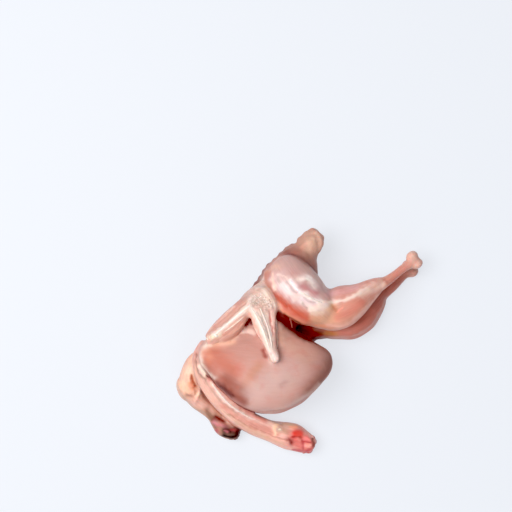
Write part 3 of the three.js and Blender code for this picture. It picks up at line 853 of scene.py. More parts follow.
tints = dict(
    trunk=dict(back="#b98b80", spine="#c69a8e", tail="#dcaf9e", oilGland="#e2bba2",
               leftBreast="#ca9a90", rightBreast="#c9998e", keel="#ca998f", belly="#8f3a30"),
    leftLeg=dict(thigh="#c8a49e", frontStrip="#c46a58", hamstring="#d6a69c", kneecap="#edcdb6",
                 kneeWeb="#dfa68d", calf="#da9884", shin="#da9d93", shank="#cb8679", hock="#e3c8ba"),
    rightLeg=dict(thigh="#c58b7f", frontStrip="#bb7462", calf="#c27a6e", shin="#bc7368",
                  shank="#b77a6e", hock="#dcb9aa"),
    neck=dict(bones="#e6b0a5", windpipe="#efc8ba"),
    leftWing=dict(triceps="#c39084", humerus="#e2c3b7", biceps="#d49888", elbow="#dfc6bb",
                  ulna="#efd8ce", radius="#dbaea2", wingWeb="#dab6aa", elbowFilm="#d0ada1",
                  flankFilm="#ffe0d2"),
    rightWing=dict(upperArm="#f0c1aa", elbow="#ecbfaa", forearm="#be8f7c"),
)
wetness = dict(trunk=0.3, leftLeg=0.7, rightLeg=0.6, neck=0.75, leftWing=0.75, rightWing=0.6)
# the blood layer also carries painted shade, in the hollows between limbs and in dark gaps
markedLayers = ("fascia", "fat", "blood", "rough", "wet")
paintLook = dict(
    inLimb=2.4, between=0.7,       # millimetres over which tints run into each other
    steep=(-0.1, 0.65),            # how far up a face turns, from fully steep to level
    steepShade=(0.02, 0.16, 0.2),   # painted shade: shares of red, green and blue that a steep side is darkened by
    seenRounds=5, broadRounds=40,  # smoothing of what the camera sees, for narrow and for broad marks
    broad=4.5,                     # pixels: from this width on a mark is broad
    ownLimb=(0.2, 1.6),            # millimetres behind the nearest limb over which a mark ends
    wander=0.5, wanderSize=3.2,    # pixels that a mark's edge wanders, and millimetres between turns
    uneven=0.3, unevenSize=4,      # share by which a mark's width changes, and over what millimetres
    steady=1.5,                    # pixels: wider marks than that change less
    draws=(1, 2, 21),              # the noises of the edge, sideways and up, and of the width
    innerWall="#b02c22",           # the lining of the cavity
)
tailMuscles = [("trunk", "tail"), ("trunk", "oilGland")]
roughMuscles = tailMuscles + [("leftLeg", "hock"), ("rightLeg", "hock")]
hiddenLook = dict(
    # noise as millimetres from crest to crest, its draw, and where its patches start and are full
    filmPatch=(14, 16, -0.6, 1.0), seamPatch=(6, 15, -0.2, 1.0), shadePatch=(5, 14, -0.5, 0.8),
    fatPatch=(7, 13, 0.9, 1.7), bloodSpot=(4.5, 12, 1.3, 2.0),
    filmAlong=(1.6, 3.6, 1.0), filmDraw=11, filmEdge=(-0.5, 1.9),      # film runs along the bundles
    film=0.42, seamFilm=0.55, fat=0.6, blood=0.45, rough=0.7,      # how much there is of each at most
    seamShade=0.22, fatInSeam=0.7,      # how much darker a seam is, and the share of fat kept to it
    knuckle=0.35, knuckleStep=3.9,      # millimetres: how high the spine's knuckles are, and their step
    tailLump=0.5, tailLumpSize=4, tailDraw=17,      # the same of the lumps on the tail
)
bloodLook = dict(
    # partly painted shade: a darker, bloody tint where one limb lies close against another
    flushShade="#7c2e20", flushShadeMuch=0.92,
    flushShadeReach=2.2,            # how many times as far as the blood the darker tint of painted shade reaches
    seam=0.8,                  # millimetres over which the seam between two muscles ends
    rounds=2, filmed=(0.25, 0.7),        # smoothing, and how much film over a join keeps it dry
    dryAround=((-43, 3, 22), 10, 22),    # a point of the neck's root, and over what range blood sets in
    levelLoss=0.85, level=(0.3, 0.75), flushShadeLevel=(0.68, 0.97),      # less of it where flesh faces up
)
# where two limbs lie against each other, blood stays between them, and it is also painted shade in the
# join: how much, and how far out it reaches on the first and on the second limb in millimetres
bloodAndShadeBetween = {
    ("trunk", "neck"): (1.0, 5.0, 1.2), ("trunk", "rightLeg"): (0.7, 2.2, 1.6),
    ("trunk", "leftLeg"): (0.6, 1.6, 0.8), ("trunk", "rightWing"): (0.6, 1.6, 1.0),
    ("leftLeg", "rightLeg"): (0.7, 0.8, 1.6), ("neck", "rightWing"): (0.7, 0.8, 1.6),
}
seenLook = dict(
    cell=0.9,                 # millimetres, a cell of the grid that what lies above is looked up in
    slack=1.6, drop=2.5,      # what lies under something higher fades over drop millimetres
    steep=(0.05, 0.4),        # how far up a face has to turn
)
nearLook = dict(
    steps=12,                 # straight pieces from one point of a path to the next
    power=2.2,                # how sharply a mark ends
    reach=3,                  # widths from the path, past which nothing of it is left
)


def seenFromAbove(points, normal):
    # 1 where nothing lies above a point that faces up, from the highest point of each cell of a grid,
    # and less where it turns steep.
    look = seenLook
    grid = np.floor((points[:, :2] - points[:, :2].min(0)) / look["cell"]).astype(int)
    index = grid[:, 0] * (grid[:, 1].max() + 1) + grid[:, 1]
    top = np.full(index.max() + 1, -np.inf)
    np.maximum.at(top, index, points[:, 2])
    covered = (top[index] - points[:, 2]) / look["drop"]
    return np.clip(look["slack"] - covered, 0, 1) * ramp(normal[:, 2], *look["steep"])


def nearness(pixels, path, width):
    # How near each pixel is to the path: exp(-(distance / width)^power).
    line = curveThrough(path, np.linspace(0, 1, nearLook["steps"] * (len(path) - 1) + 1))
    distance = np.full(len(pixels), np.inf)
    reach = nearLook["reach"] * np.max(width)
    low, high = line.min(0) - reach, line.max(0) + reach
    close = np.nonzero(((pixels > low) & (pixels < high)).all(1))[0]
    for a, b in zip(line[:-1], line[1:]):
        w = np.clip(((pixels[close] - a) @ (b - a)) / ((b - a) @ (b - a)), 0, 1)
        gap = np.linalg.norm(pixels[close] - a - w[:, None] * (b - a), axis=1)
        distance[close] = np.minimum(distance[close], gap)
    return np.exp(-(distance / width)**nearLook["power"])


def patches(size, order, start, full):
    # Patches of the carcass with soft edges: noise, from start to full.
    return ramp(waves(points, size, order), start, full)


def most(weight, names):
    # The weight of the muscle that counts most among these.
    return np.maximum.reduce([weight[muscleNames.index(name)] for name in names])


def muscleWeights():
    # How much each muscle counts at a point: exp(-(how far behind its limb's nearest muscle) / inLimb
    # - (how far behind the nearest limb) / between), and all together 1.
    ofLimb = np.stack([byLimb[limb] for limb in limbs])[limbOf]
    inLimb = (fields - ofLimb) / paintLook["inLimb"]
    between = (ofLimb - fields.min(0)) / paintLook["between"]
    weight = np.exp(-inLimb - between)
    return weight / weight.sum(0)


def valleysBetween(normal):
    # How near the next muscle of the same limb is, and how much blood and darker tint, both partly
    # painted shade, there is on steep sides against another limb.
    look = bloodLook
    seam = np.exp(-(fields[second, each] - fields[owner, each]) / look["seam"]) * sameLimb
    pooledBloodShade, shadedFlush = np.zeros(len(points)), np.zeros(len(points))
    for (first, other), (much, onFirst, onOther) in bloodAndShadeBetween.items():
        for own, against, reach in ((first, other, onFirst), (other, first, onOther)):
            apart = np.maximum(byLimb[against], 0) / reach
            isOwn = limbOf[owner] == list(limbs).index(own)
            pooledBloodShade = np.maximum(pooledBloodShade, much * np.exp(-apart**2) * isOwn)
            shadedFlush = np.maximum(shadedFlush, much * np.exp(-(apart / look["flushShadeReach"])**2) * isOwn)
    root, *setsIn = look["dryAround"]
    wetWall = (1 - ramp(joined, *look["filmed"])) * ramp(np.linalg.norm(points - root, axis=1), *setsIn)
    steep = 1 - look["levelLoss"] * ramp(normal[:, 2], *look["level"])
    steepForFlushShade = 1 - ramp(normal[:, 2], *look["flushShadeLevel"])
    pooledBloodShade, shadedFlush = smoothed(pooledBloodShade, look["rounds"]), smoothed(shadedFlush, look["rounds"])
    return seam, pooledBloodShade * wetWall * steep, shadedFlush * wetWall * steepForFlushShade


def paintHidden(tint, layers, hidden, seam, weight):
    # What the photo doesn't show has film in its seams and in patches, a little fat, some spots of
    # blood, rough ends, and the knuckles of the spine. How far it rises comes back.
    look = hiddenLook
    alongBundles = waves(bundles / look["filmAlong"], 1.0, look["filmDraw"])
    film = ramp(alongBundles, *look["filmEdge"]) * patches(*look["filmPatch"])
    tint *= (1 - look["seamShade"] * seam * hidden * patches(*look["shadePatch"]))[:, None]
    seamFilm = look["seamFilm"] * seam * patches(*look["seamPatch"])
    layers["fascia"] = hidden * np.maximum(look["film"] * film, seamFilm)
    inSeam = 1 - look["fatInSeam"] + look["fatInSeam"] * seam
    layers["fat"] = hidden * look["fat"] * patches(*look["fatPatch"]) * inSeam
    layers["blood"] = np.maximum(layers["blood"], hidden * look["blood"] * patches(*look["bloodSpot"]))
    layers["rough"] = hidden * look["rough"] * most(weight, roughMuscles)
    spine = muscleNames.index(("trunk", "spine"))
    knuckles = np.sin(2 * math.pi * along[spine] / look["knuckleStep"]) * weight[spine] * hidden
    lumps = waves(points, look["tailLumpSize"], look["tailDraw"]) * most(weight, tailMuscles)
    return look["knuckle"] * knuckles + look["tailLump"] * lumps


def layMarks(tint, layers, rise, seen):
    # Each mark lies on its own limb, where the camera sees that, with an edge that wanders.
    look = paintLook
    broadlySeen = np.maximum(seen, smoothed(seen, look["broadRounds"]))
    *aside, order = look["draws"]
    uneven = look["uneven"] * waves(points, look["unevenSize"], order)
    wander = np.stack([waves(points, look["wanderSize"], order) for order in aside], -1)
    ragged = toPixels(points) + look["wander"] * wander
    for limb, group in marks.items():
        own = 1 - ramp(byLimb[limb] - fields.min(0), *look["ownLimb"])
        for mark in group.values():
            width = mark["width"] * (1 + uneven / max(1, mark["width"] / look["steady"])**1.5)
            shown = broadlySeen if mark["width"] >= look["broad"] or "soft" in mark else seen
            here = nearness(ragged, mark["path"], width) * own * shown
            if "colour" in mark:
                tint += (linear(mark["colour"]) - tint) * (here * mark["much"])[:, None]
            for layer in markedLayers:
                layers[layer] = np.maximum(layers[layer], np.minimum(1, here * mark.get(layer, 0)))
            rise += here * mark.get("rise", 0)


def paintCarcass():
    # The tint of each muscle blends into the next of its limb and is darker on steep sides, as painted
    # shade. A darker, bloody tint of painted shade between limbs, the hidden side, the marks and the
    # lining of the cavity lie over that.
    look = paintLook
    normal = normalsOf(points, quads)
    weight = muscleWeights()
    tint = weight.T @ np.array([linear(tints[limb][name]) for limb, name in muscleNames])
    # painted shade: the tint is darker on steep sides, more in green and blue than in red
    tint *= 1 - (1 - ramp(normal[:, 2], *look["steep"]))[:, None] * np.array(look["steepShade"])
    seam, pooledBloodShade, shadedFlush = valleysBetween(normal)
    # painted shade: a darker, bloody tint where limbs meet
    tint += (linear(bloodLook["flushShade"]) - tint) * (shadedFlush * bloodLook["flushShadeMuch"])[:, None]
    ofLimb = np.stack([weight[limbOf == k].sum(0) for k in range(len(limbs))])
    # the blood layer starts as the blood between limbs, which is partly painted shade where they meet
    layers = dict(blood=pooledBloodShade, wet=ofLimb.T @ np.array([wetness[limb] for limb in limbs]))
    seen = smoothed(seenFromAbove(points, normal), look["seenRounds"])
    rise = paintHidden(tint, layers, 1 - seen, seam, weight)
    layMarks(tint, layers, rise, seen)
    tint += (linear(look["innerWall"]) - tint) * inside[:, None]
    layers["blood"] *= 1 - inside
    return tint, layers, rise, normal


# a place on the bundles: along them, round the bone, and far from those of every other muscle
farApart = 40.0
alongBundle = along[owner, each] / carcassLook["bundleStretch"]
bundles = np.stack([alongBundle, around[owner, each], owner * farApart], -1)
tint, layers, rise, normal = paintCarcass()
stringy = np.array([carcassLook["stringy"][limb] for limb in limbs])[limbOf[owner]]
stringy = smoothed(stringy, carcassLook["stringyRounds"])
lumpy = waves(points, carcassLook["lumpSize"], carcassLook["lumpDraw"])
bundled = stringy * waves(bundles, carcassLook["bundleWidth"], carcassLook["bundleDraw"])
rise += carcassLook["lump"] * lumpy + carcassLook["bundle"] * bundled
points += normal * rise[:, None]
points[:, 2] = np.maximum(points[:, 2], 0)
movePoints(carcass, points)
carcass.data.shade_smooth()
print("carcass painted")


def setAttribute(made, name, kind, values):
    # One value of its kind at each point of the mesh.
    made.data.attributes.new(name, kind, "POINT")
    key = dict(FLOAT="value", FLOAT_COLOR="color", FLOAT_VECTOR="vector")[kind]
    made.data.attributes[name].data.foreach_set(key, np.asarray(values, float).ravel())


setAttribute(carcass, "tint", "FLOAT_COLOR", np.column_stack([tint, np.ones(len(points))]))
for layer in markedLayers:
    setAttribute(carcass, layer, "FLOAT", layers[layer])
setAttribute(carcass, "bundle", "FLOAT_VECTOR", bundles)
setAttribute(carcass, "stringy", "FLOAT", stringy)


# Materials

def addNode(tree, kind, values=(), links=(), **settings):
    # One node with its settings, the values of its inputs, and what is linked into them.
    node = tree.nodes.new(kind)
    for key, value in settings.items():
        setattr(node, key, value)
    for key, value in dict(values).items():
        node.inputs[key].default_value = value
    for key, source in dict(links).items():
        tree.links.new(source, node.inputs[key])
    return node


def addSum(tree, operation, *terms):
    # A sum of up to three terms, each a number or the output of a node.
    numbers = {k: term for k, term in enumerate(terms) if isinstance(term, (int, float))}
    linked = {k: term for k, term in enumerate(terms) if k not in numbers}
    return addNode(tree, "ShaderNodeMath", numbers, linked, operation=operation).outputs[0]


def addRange(tree, value, start, end, least=0.0, greatest=1.0):
    # least up to start, greatest from end, and straight between.
    settings = {"From Min": start, "From Max": end, "To Min": least, "To Max": greatest}
    return addNode(tree, "ShaderNodeMapRange", settings, dict(Value=value)).outputs["Result"]


def addNoise(tree, place, size, unit=1000, **values):
    # Noise whose grains are size millimetres across, at a place whose unit is so many millimetres.
    return addNode(tree, "ShaderNodeTexNoise", dict(Scale=unit / size, **values),
                   dict(Vector=place)).outputs["Fac"]


def readAttribute(tree, name, output="Fac"):
    # What setAttribute put into the mesh.
    return addNode(tree, "ShaderNodeAttribute", attribute_name=name).outputs[output]


def scaleColour(tree, colour, factor):
    # The linked colour, lighter or darker by the linked factor.
    scaled = addNode(tree, "ShaderNodeVectorMath", links={0: colour}, operation="SCALE")
    tree.links.new(factor, scaled.inputs["Scale"])
    return scaled.outputs[0]


def mixColours(tree, share, under, over):
    # A share of the fixed colour over, laid on the linked colour under.
    mixer = tree.nodes.new("ShaderNodeMix")
    mixer.data_type = "RGBA"
    factor, a, b = (next(s for s in mixer.inputs if s.identifier == name)
                    for name in ("Factor_Float", "A_Color", "B_Color"))
    tree.links.new(share, factor)
    tree.links.new(under, a)
    b.default_value = over
    return next(s for s in mixer.outputs if s.identifier == "Result_Color")


def startMaterial(name):
    # A material without nodes, and its tree.
    made = bpy.data.materials.new(name)
    made.use_nodes = True
    made.node_tree.nodes.clear()
    return made, made.node_tree


def finishMaterial(tree, values, links):
    # The surface of the material: one principled shader.
    shader = addNode(tree, "ShaderNodeBsdfPrincipled", values, links)
    addNode(tree, "ShaderNodeOutputMaterial", links={"Surface": shader.outputs["BSDF"]})


fleshLook = dict(
    bundleWidth=0.8,      # millimetres between the fibre bundles that show
    grain=0.45,           # millimetres, the fine grain of wet muscle
    blotch=7.0,           # millimetres across the paler and redder patches
    rosy="#c9776a", rosyFrom=0.52, rosyTo=0.72, rosyMuch=0.3,
    wisp=2.2,             # millimetres across the wisps that a film's edge is torn into
    torn=dict(fat=0.25, fascia=0.45, blood=0.08),      # how far, for each film
    cover=(0.12, 0.85, 0.92),      # where a film sets in, where it is full, and how much it then hides
    roughness=(0.58, 0.2), patchy=0.5,     # from dry to wet, and how uneven that is
    coat=0.04, coatRoughness=0.15, shine=0.28,
    scatter=0.3, scatterDepth=0.0018, scatterColour=(1.0, 0.36, 0.22),
    crumb=1.2,            # millimetres across the crumbs of torn film
    crumbGap=(0.3, 0.8, 0.7),      # where the flesh between them sets in, where it is full, and how much
    fibreBump=(0.5, 0.00018), grainBump=(0.35, 0.0001), crumbBump=(0.8, 0.0005),      # share, metres
    fascia="#efd6cc", fat="#efd6ae", blood="#6e0405", betweenCrumbs="#b08c7d",
)
waterIndex, fleshIndex = 1.36, 1.42      # how far the wet film and the flesh bend light


def addBump(tree, look, height, under=None, **settings):
    # Relief from a height, on top of the relief under it.
    links = {"Height": height} if under is None else {"Height": height, "Normal": under}
    values = {"Strength": look[0], "Distance": look[1]}
    return addNode(tree, "ShaderNodeBump", values, links, **settings).outputs["Normal"]


def addFibres(tree, streak, blotch):
    # The tint, a little lighter and deeper along the fibres, and rosy in blotches.
    look = fleshLook
    streakAway = addSum(tree, "SUBTRACT", streak, 0.5)
    streakLight = addSum(tree, "MULTIPLY_ADD", streakAway, readAttribute(tree, "stringy"), 1.0)
    colour = scaleColour(tree, readAttribute(tree, "tint", "Color"), streakLight)
    rosy = addRange(tree, blotch, look["rosyFrom"], look["rosyTo"], 0.0, look["rosyMuch"])
    return mixColours(tree, rosy, colour, rgba(look["rosy"]))


def addFilms(tree, colour, masks, wisp):
    # Fat, fascia and blood over the colour, each with torn, wispy edges. The blood also carries painted
    # shade in the hollows between limbs and in gaps.
    setsIn, full, hides = fleshLook["cover"]
    for layer, edge in fleshLook["torn"].items():
        fuller = addSum(tree, "ADD", masks[layer], addSum(tree, "MULTIPLY", wisp, edge))
        cover = addRange(tree, fuller, 0.5 * edge + setsIn, 0.5 * edge + full, 0.0, hides)
        colour = mixColours(tree, cover, colour, rgba(fleshLook[layer]))
    return colour


def makeFlesh():
    # Raw skinned poultry muscle: wet, slightly translucent and fibrous, under patches of milky fascia.
    made, tree = startMaterial("raw_skinless_quail_muscle")
    look = fleshLook
    place = addNode(tree, "ShaderNodeTexCoord").outputs["Object"]
    masks = {layer: readAttribute(tree, layer) for layer in markedLayers}
    streak = addNoise(tree, readAttribute(tree, "bundle", "Vector"), look["bundleWidth"], unit=1,
                      Detail=3.0, Roughness=0.6)
    grain = addNoise(tree, place, look["grain"], Detail=2.0)
    blotch = addNoise(tree, place, look["blotch"], Detail=3.0, Roughness=0.55)
    wisp = addNoise(tree, place, look["wisp"], Detail=5.0, Roughness=0.7, Distortion=0.6)
    colour = addFilms(tree, addFibres(tree, streak, blotch), masks, wisp)
    # granular tissue: crumbs of film with darker flesh between them
    crumb = addNode(tree, "ShaderNodeTexVoronoi", dict(Scale=1000 / look["crumb"]),
                    dict(Vector=place)).outputs[0]
    setsIn, full, much = look["crumbGap"]
    gap = addSum(tree, "MULTIPLY", addRange(tree, crumb, setsIn, full, 0.0, much), masks["rough"])
    colour = mixColours(tree, gap, colour, rgba(look["betweenCrumbs"]))
    crumbHeight = addSum(tree, "MULTIPLY", crumb, masks["rough"])
    # it is wetter in some places than in others
    dryer = addSum(tree, "MULTIPLY_ADD", wisp, look["patchy"], -0.5 * look["patchy"])
    dry, wet = look["roughness"]
    rough = addRange(tree, addSum(tree, "SUBTRACT", masks["wet"], dryer), 0.0, 1.0, dry, wet)
    bump = addBump(tree, look["fibreBump"], streak)
    bump = addBump(tree, look["grainBump"], grain, bump)
    bump = addBump(tree, look["crumbBump"], crumbHeight, bump, invert=True)
    finishMaterial(tree, {
        "IOR": fleshIndex, "Specular IOR Level": look["shine"], "Subsurface Weight": look["scatter"],
        "Subsurface Radius": look["scatterColour"], "Subsurface Scale": look["scatterDepth"],
        "Coat Weight": look["coat"], "Coat Roughness": look["coatRoughness"], "Coat IOR": waterIndex,
    }, {"Base Color": colour, "Roughness": rough, "Normal": bump})
    return made


carcass.data.materials.clear()
carcass.data.materials.append(makeFlesh())
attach(carcass, "root")
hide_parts("quail")
print("materials made")


# What lies on the carcass

surface = BVHTree.FromPolygons(points.tolist(), quads.tolist())
strandForm = dict(
    drop=1.1,             # millimetres: a strand ends where the carcass drops further than this under it
    spacing=0.45,         # millimetres between its rings
    fewest=8, sides=8,    # rings, and sides of a ring
    fullness=3,           # how blunt its ends are
    sunk=0.5,             # share of its height that the ends sink in
)


def castFromCamera(pixels):
    # Where the camera's line through each pixel meets the carcass.
    half, scale, origin = photo["pixels"] / 2, photo["mmPerPixel"], photo["originPixel"]
    eye = Vector(((half - origin[0]) * scale, (origin[1] - half) * scale, photo["cameraHeight"]))
    hits = []
    for x, y in pixels:
        toTable = Vector(((x - half) * scale, (half - y) * scale, -photo["cameraHeight"]))
        place = surface.ray_cast(eye, toTable.normalized())[0]
        if place is not None:
            hits.append(tuple(place))
    return np.array(hits)


def smoothAlong(values, times):
    # A line of values between its ends: each becomes (before + 2 * itself + after) / 4.
    for step in range(times):
        values[1:-1] = (values[:-2] + 2 * values[1:-1] + values[2:]) / 4
    return values


def layOnCarcass(place):
    # The longest run without a step in height, moved to the nearest points of the carcass, and the way
    # that each of these faces.
    steps = np.nonzero(np.abs(np.diff(place[:, 2])) > strandForm["drop"])[0] + 1
    place = place[max(np.split(np.arange(len(place)), steps), key=len)]
    nearest = [surface.find_nearest(Vector(p))[:2] for p in smoothAlong(place, 3)]
    return np.array([tuple(p) for p, n in nearest]), np.array([tuple(n) for p, n in nearest])


def strandSurface(path, width, height):
    # An ellipse, centre + across * width * cos(a) + facing * height * sin(a), carried along the path on
    # the surface, whose sizes close at the ends as the muscles' do.
    form = strandForm
    length = lengthOf(np.asarray(path, float)) * photo["mmPerPixel"]
    t = np.linspace(0, 1, int(max(form["fewest"], length / form["spacing"])))
    place, facing = layOnCarcass(castFromCamera(curveThrough(path, t)))
    place, facing = smoothAlong(place, 2), smoothAlong(facing, 3)
    across = np.cross(facing, np.gradient(place, axis=0))
    across /= np.linalg.norm(across, axis=1)[:, None]
    rings = len(place)
    fromMiddle = np.abs(np.linspace(-1, 1, rings + 2)[1:-1])
    closing = ((1 - fromMiddle**form["fullness"])**(1 / form["fullness"]))[:, None, None]
    a = np.linspace(0, 2 * math.pi, form["sides"], endpoint=False)[None, :, None]
    ring = place[:, None] + closing * (across[:, None] * np.cos(a) * width
                                       + facing[:, None] * np.sin(a) * height)
    ends = place[[0, -1]] - facing[[0, -1]] * height * form["sunk"]
    return np.vstack([ring.reshape(-1, 3), ends]), ringsToFaces(rings, form["sides"])


lumpForm = dict(
    flat=0.75,                    # depth of a lump as a share of its width
    swell=0.16, swellSize=2.2,    # how uneven it is, and radii from one swelling to the next
    sides=12, rings=8,
    turn=(0.31, 0.53, 0.79),      # a direction that no lump faces, to turn it by
    near=0.45, open=0.7, turnedAway=0.6,      # of a path, and of what the camera sees
)


def lumpSurface(place, facing, radius, order):
    # A ball that swells and sinks, radius * (1 + swell * waves), flattened along the way it faces.
    form = lumpForm
    polar = np.linspace(0, math.pi, form["rings"] + 2)[:, None]
    a = np.linspace(0, 2 * math.pi, form["sides"], endpoint=False)[None, :]
    ball = np.stack([np.sin(polar) * np.cos(a), np.sin(polar) * np.sin(a), np.cos(polar) + 0 * a], -1)
    ball = np.vstack([ball[1:-1].reshape(-1, 3), ball[0, :1], ball[-1, :1]])
    side = np.cross(facing, form["turn"])
    side /= np.linalg.norm(side)
    out = ball[:, :1] * side + ball[:, 1:2] * np.cross(facing, side) + ball[:, 2:] * facing * form["flat"]
    swell = 1 + form["swell"] * waves(ball, form["swellSize"], order)
    return place + out * (radius * swell)[:, None], ringsToFaces(form["rings"], form["sides"])


def finishPiece(name, parts, material):
    # One object of the parts, each with its own tint, none of which sinks below the table.
    made = makeJoined(name, [(np.column_stack([place[:, :2], np.maximum(place[:, 2], 0)]), faces)
                             for place, faces, colour in parts])
    tint = np.vstack([np.tile(rgba(colour), (len(place), 1)) for place, faces, colour in parts])
    setAttribute(made, "tint", "FLOAT_COLOR", tint)
    made.data.shade_smooth()
    made.data.materials.append(material)
    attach(made, "root")


strandLook = dict(
    # paths in the photo's pixels, half a width and a height in millimetres, and a colour
    forearmCord=dict(path=[(251, 308), (257, 318), (262.5, 329), (266.5, 341), (270, 351)], width=0.6,
                     height=0.35, colour="#f7dfd4"),
    forearmSecond=dict(path=[(260, 308), (264, 317), (268, 328), (270.6, 339), (272.4, 349)],
                       width=0.42, height=0.3, colour="#f5dfd5"),
    outerCord=dict(path=[(272.5, 309), (275.8, 319), (276.6, 332), (277, 345), (277, 352)], width=0.55,
                   height=0.4, colour="#f6d3c6"),
    armCord=dict(path=[(215, 334.5), (224, 327), (233, 319), (242, 311.5), (250, 305)], width=0.45,
                 height=0.3, colour="#f7e5db"),
    armLower=dict(path=[(225, 331.5), (234, 325), (243, 317.5)], width=0.28, height=0.2,
                  colour="#f6d5c6"),
    neckCord=dict(path=[(212, 383.5), (220.5, 394.5), (231, 405.5), (242, 413), (252, 419)], width=0.4,
                  height=0.25, colour="#fce0d6"),
    thighCord=dict(path=[(302, 293), (309, 297), (316, 301), (322, 303)], width=0.4, height=0.22,
                   colour="#f7dfd4"),
    thighUpper=dict(path=[(290.5, 281), (294, 286), (298.5, 290.5)], width=0.4, height=0.2,
                    colour="#fbeff0"),
    gapBand=dict(path=[(290, 318.5), (291.4, 323), (292.2, 328)], width=0.45, height=0.3,
                 colour="#a25a50"),
)
lumpLook = dict(
    # where in the photo's pixels or along which muscle, how many, their radii in millimetres, how far
    # they sink in as a share of that, and their colours
    elbowGrains=dict(path=[(253, 300), (260, 298), (267, 303)], spread=5, count=46, radius=(0.2, 0.42),
                     sunk=0.5, colours=["#f4e9e1", "#e6cfc2", "#d9bfb0", "#cfa99b"]),
    shoulderFat=dict(path=[(207, 338), (213, 336.5), (219, 334)], spread=1.8, count=16,
                     radius=(0.4, 0.9), sunk=0.6, colours=["#f5dcc0", "#f1d0b2", "#f7e6d8"]),
    neckCut=dict(muscle=("neck", "bones"), reach=(0.94, 1.2), count=34, radius=(0.9, 2.0), sunk=0.65,
                 colours=["#cf4a44", "#d8645d", "#df827b", "#b93a38", "#e7a49b", "#c8564f"]),
    wingCut=dict(muscle=("rightWing", "forearm"), reach=(0.86, 1.2), count=30, radius=(0.9, 1.9),
                 sunk=0.65, colours=["#5a1218", "#742028", "#4a0b10", "#8a3a44", "#64161d"]),
)
wetLook = dict(
    # each material's roughness, how thick the film of water on it is, and how much light it scatters
    wet_sinew=(0.36, 0.4, 0.25), soft_fat=(0.55, 0.15, 0.3), cut_flesh=(0.34, 0.5, 0.35),
)
mottleLook = dict(
    size=1.1, between=(0.3, 0.7), light=(0.88, 1.08), bump=(0.4, 0.0001),
    scatterDepth=0.0012, scatterColour=(1.0, 0.45, 0.3), coatRoughness=0.12,
)


def makeWetPiece(name):
    # Sinew, fat or cut flesh: the tint of each strand or lump, mottled, under a thin film of water.
    made, tree = startMaterial(name)
    look = mottleLook
    roughness, coat, scatter = wetLook[name]
    place = addNode(tree, "ShaderNodeTexCoord").outputs["Object"]
    mottle = addNoise(tree, place, look["size"], Detail=3.0)
    light = addRange(tree, mottle, *look["between"], *look["light"])
    colour = scaleColour(tree, readAttribute(tree, "tint", "Color"), light)
    finishMaterial(tree, {
        "Roughness": roughness, "IOR": fleshIndex, "Subsurface Weight": scatter,
        "Subsurface Radius": look["scatterColour"], "Subsurface Scale": look["scatterDepth"],
        "Coat Weight": coat, "Coat Roughness": look["coatRoughness"], "Coat IOR": waterIndex,
    }, {"Base Color": colour, "Normal": addBump(tree, look["bump"], mottle)})
    return made


def scatterLumps(look, draw):
    # Lumps on points of the carcass drawn from those near the path, or from one end of the muscle.
    if "path" in look:
        near = nearness(toPixels(points), look["path"], look["spread"]) > lumpForm["near"]
        fit = near & (seen > lumpForm["open"])
    else:
        which = muscleNames.index(look["muscle"])
        share = along[which] / along[which][owner == which].max()
        low, high = look["reach"]
        fit = (owner == which) & (share > low) & (share < high) & (seen < lumpForm["turnedAway"])
    chosen = draw.choice(np.nonzero(fit)[0], look["count"])
    parts = []
    for order, index in enumerate(chosen):
        radius = draw.uniform(*look["radius"])
        colour = look["colours"][draw.integers(len(look["colours"]))]
        place = points[index] - normal[index] * radius * look["sunk"]
        parts.append((*lumpSurface(place, normal[index], radius, order), colour))
    return parts


normal = normalsOf(points, quads)
seen = seenFromAbove(points, normal)
draw = np.random.default_rng(seed)
strands = [(*strandSurface(look["path"], look["width"], look["height"]), look["colour"])
           for look in strandLook.values()]
finish = {name: makeWetPiece(name) for name in wetLook}
finishPiece("tendon_strands", strands, finish["wet_sinew"])
for name, look in lumpLook.items():
    finishPiece(name, scatterLumps(look, draw), finish["cut_flesh" if "Cut" in name else "soft_fat"])
print("strands and lumps laid on")


# Stage, light and camera

stageLook = dict(
    floor="#eceff4", floorPaint="#6b6e75", floorRoughness=0.6,
    floorHalf=3.0, floorDrop=0.0002,      # metres
    floorGlow=0.78,        # a lit table, so that the bird's shadow on it stays as faint as the photo's
    world=(0.93, 0.96, 1.0), worldStrength=0.32,
    black=0.03,            # what the picture shows as black, as a photo with some contrast does
)
# square soft lights in metres and watts, which face aimedAt
lights = dict(
    key=dict(place=(-0.45, 0.12, 1.0), size=0.7, power=12.5, colour=(1.0, 0.98, 0.95)),
    fill=dict(place=(0.1, -0.8, 0.75), size=0.8, power=2.6, colour=(0.95, 0.98, 1.0)),
)
aimedAt = (0, 0, 0.02)


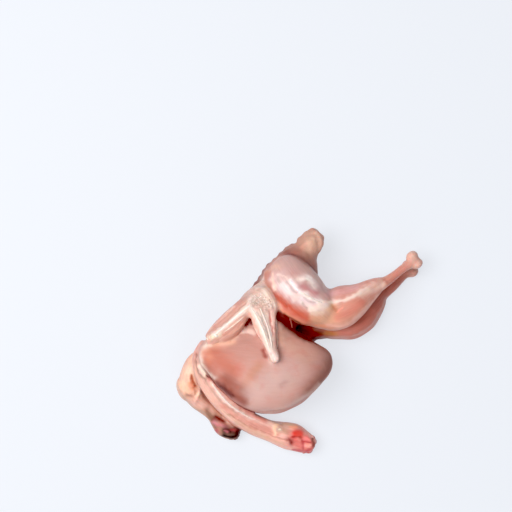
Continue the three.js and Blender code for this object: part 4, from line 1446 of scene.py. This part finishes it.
def makeStage():
    # One pale square under the bird.
    half = stageLook["floorHalf"]
    corners = [(x * half, y * half, -stageLook["floorDrop"])
               for x, y in ((-1, -1), (1, -1), (1, 1), (-1, 1))]
    mesh = bpy.data.meshes.new("floor")
    mesh.from_pydata(corners, [], [(0, 1, 2, 3)])
    floor = bpy.data.objects.new("floor", mesh)
    bpy.context.scene.collection.objects.link(floor)
    made, tree = startMaterial("matt_white_floor")
    finishMaterial(tree, {
        "Base Color": rgba(stageLook["floorPaint"]), "Roughness": stageLook["floorRoughness"],
        "Emission Color": rgba(stageLook["floor"]), "Emission Strength": stageLook["floorGlow"],
    }, {})
    mesh.materials.append(made)


def addLight(name, place, size, power, colour):
    # A square soft light that faces the bird.
    light = bpy.data.lights.new(name, "AREA")
    light.size, light.energy, light.color = size, power, colour
    made = bpy.data.objects.new(name, light)
    made.location = place
    made.rotation_euler = (Vector(aimedAt) - Vector(place)).to_track_quat("-Z", "Y").to_euler()
    made.visible_camera = False
    bpy.context.scene.collection.objects.link(made)


def makeRoom():
    # Even pale light from all around, and the picture's contrast.
    world = bpy.data.worlds.new("pale_room")
    world.use_nodes = True
    background = world.node_tree.nodes["Background"]
    background.inputs["Color"].default_value = (*stageLook["world"], 1.0)
    background.inputs["Strength"].default_value = stageLook["worldStrength"]
    bpy.context.scene.world = world
    view = bpy.context.scene.view_settings
    view.view_transform = "Standard"
    view.use_curve_mapping = True
    view.curve_mapping.black_level = (stageLook["black"],) * 3
    view.curve_mapping.update()


def addCamera():
    # Straight above the photo's middle, at the length of lens that shows mmPerPixel on the table.
    half, scale, origin = photo["pixels"] / 2, photo["mmPerPixel"], photo["originPixel"]
    place = np.array([(half - origin[0]) * scale, (origin[1] - half) * scale, photo["cameraHeight"]])
    data = bpy.data.cameras.new("camera")
    data.sensor_width = photo["sensor"]
    data.lens = photo["sensor"] * photo["cameraHeight"] / (photo["pixels"] * scale)
    camera = bpy.data.objects.new("camera", data)
    camera.location = (place - middle) / 1000
    bpy.context.scene.collection.objects.link(camera)
    bpy.context.scene.camera = camera


makeStage()
for name, light in lights.items():
    addLight(name, **light)
makeRoom()
addCamera()
print("stage, light and camera set")
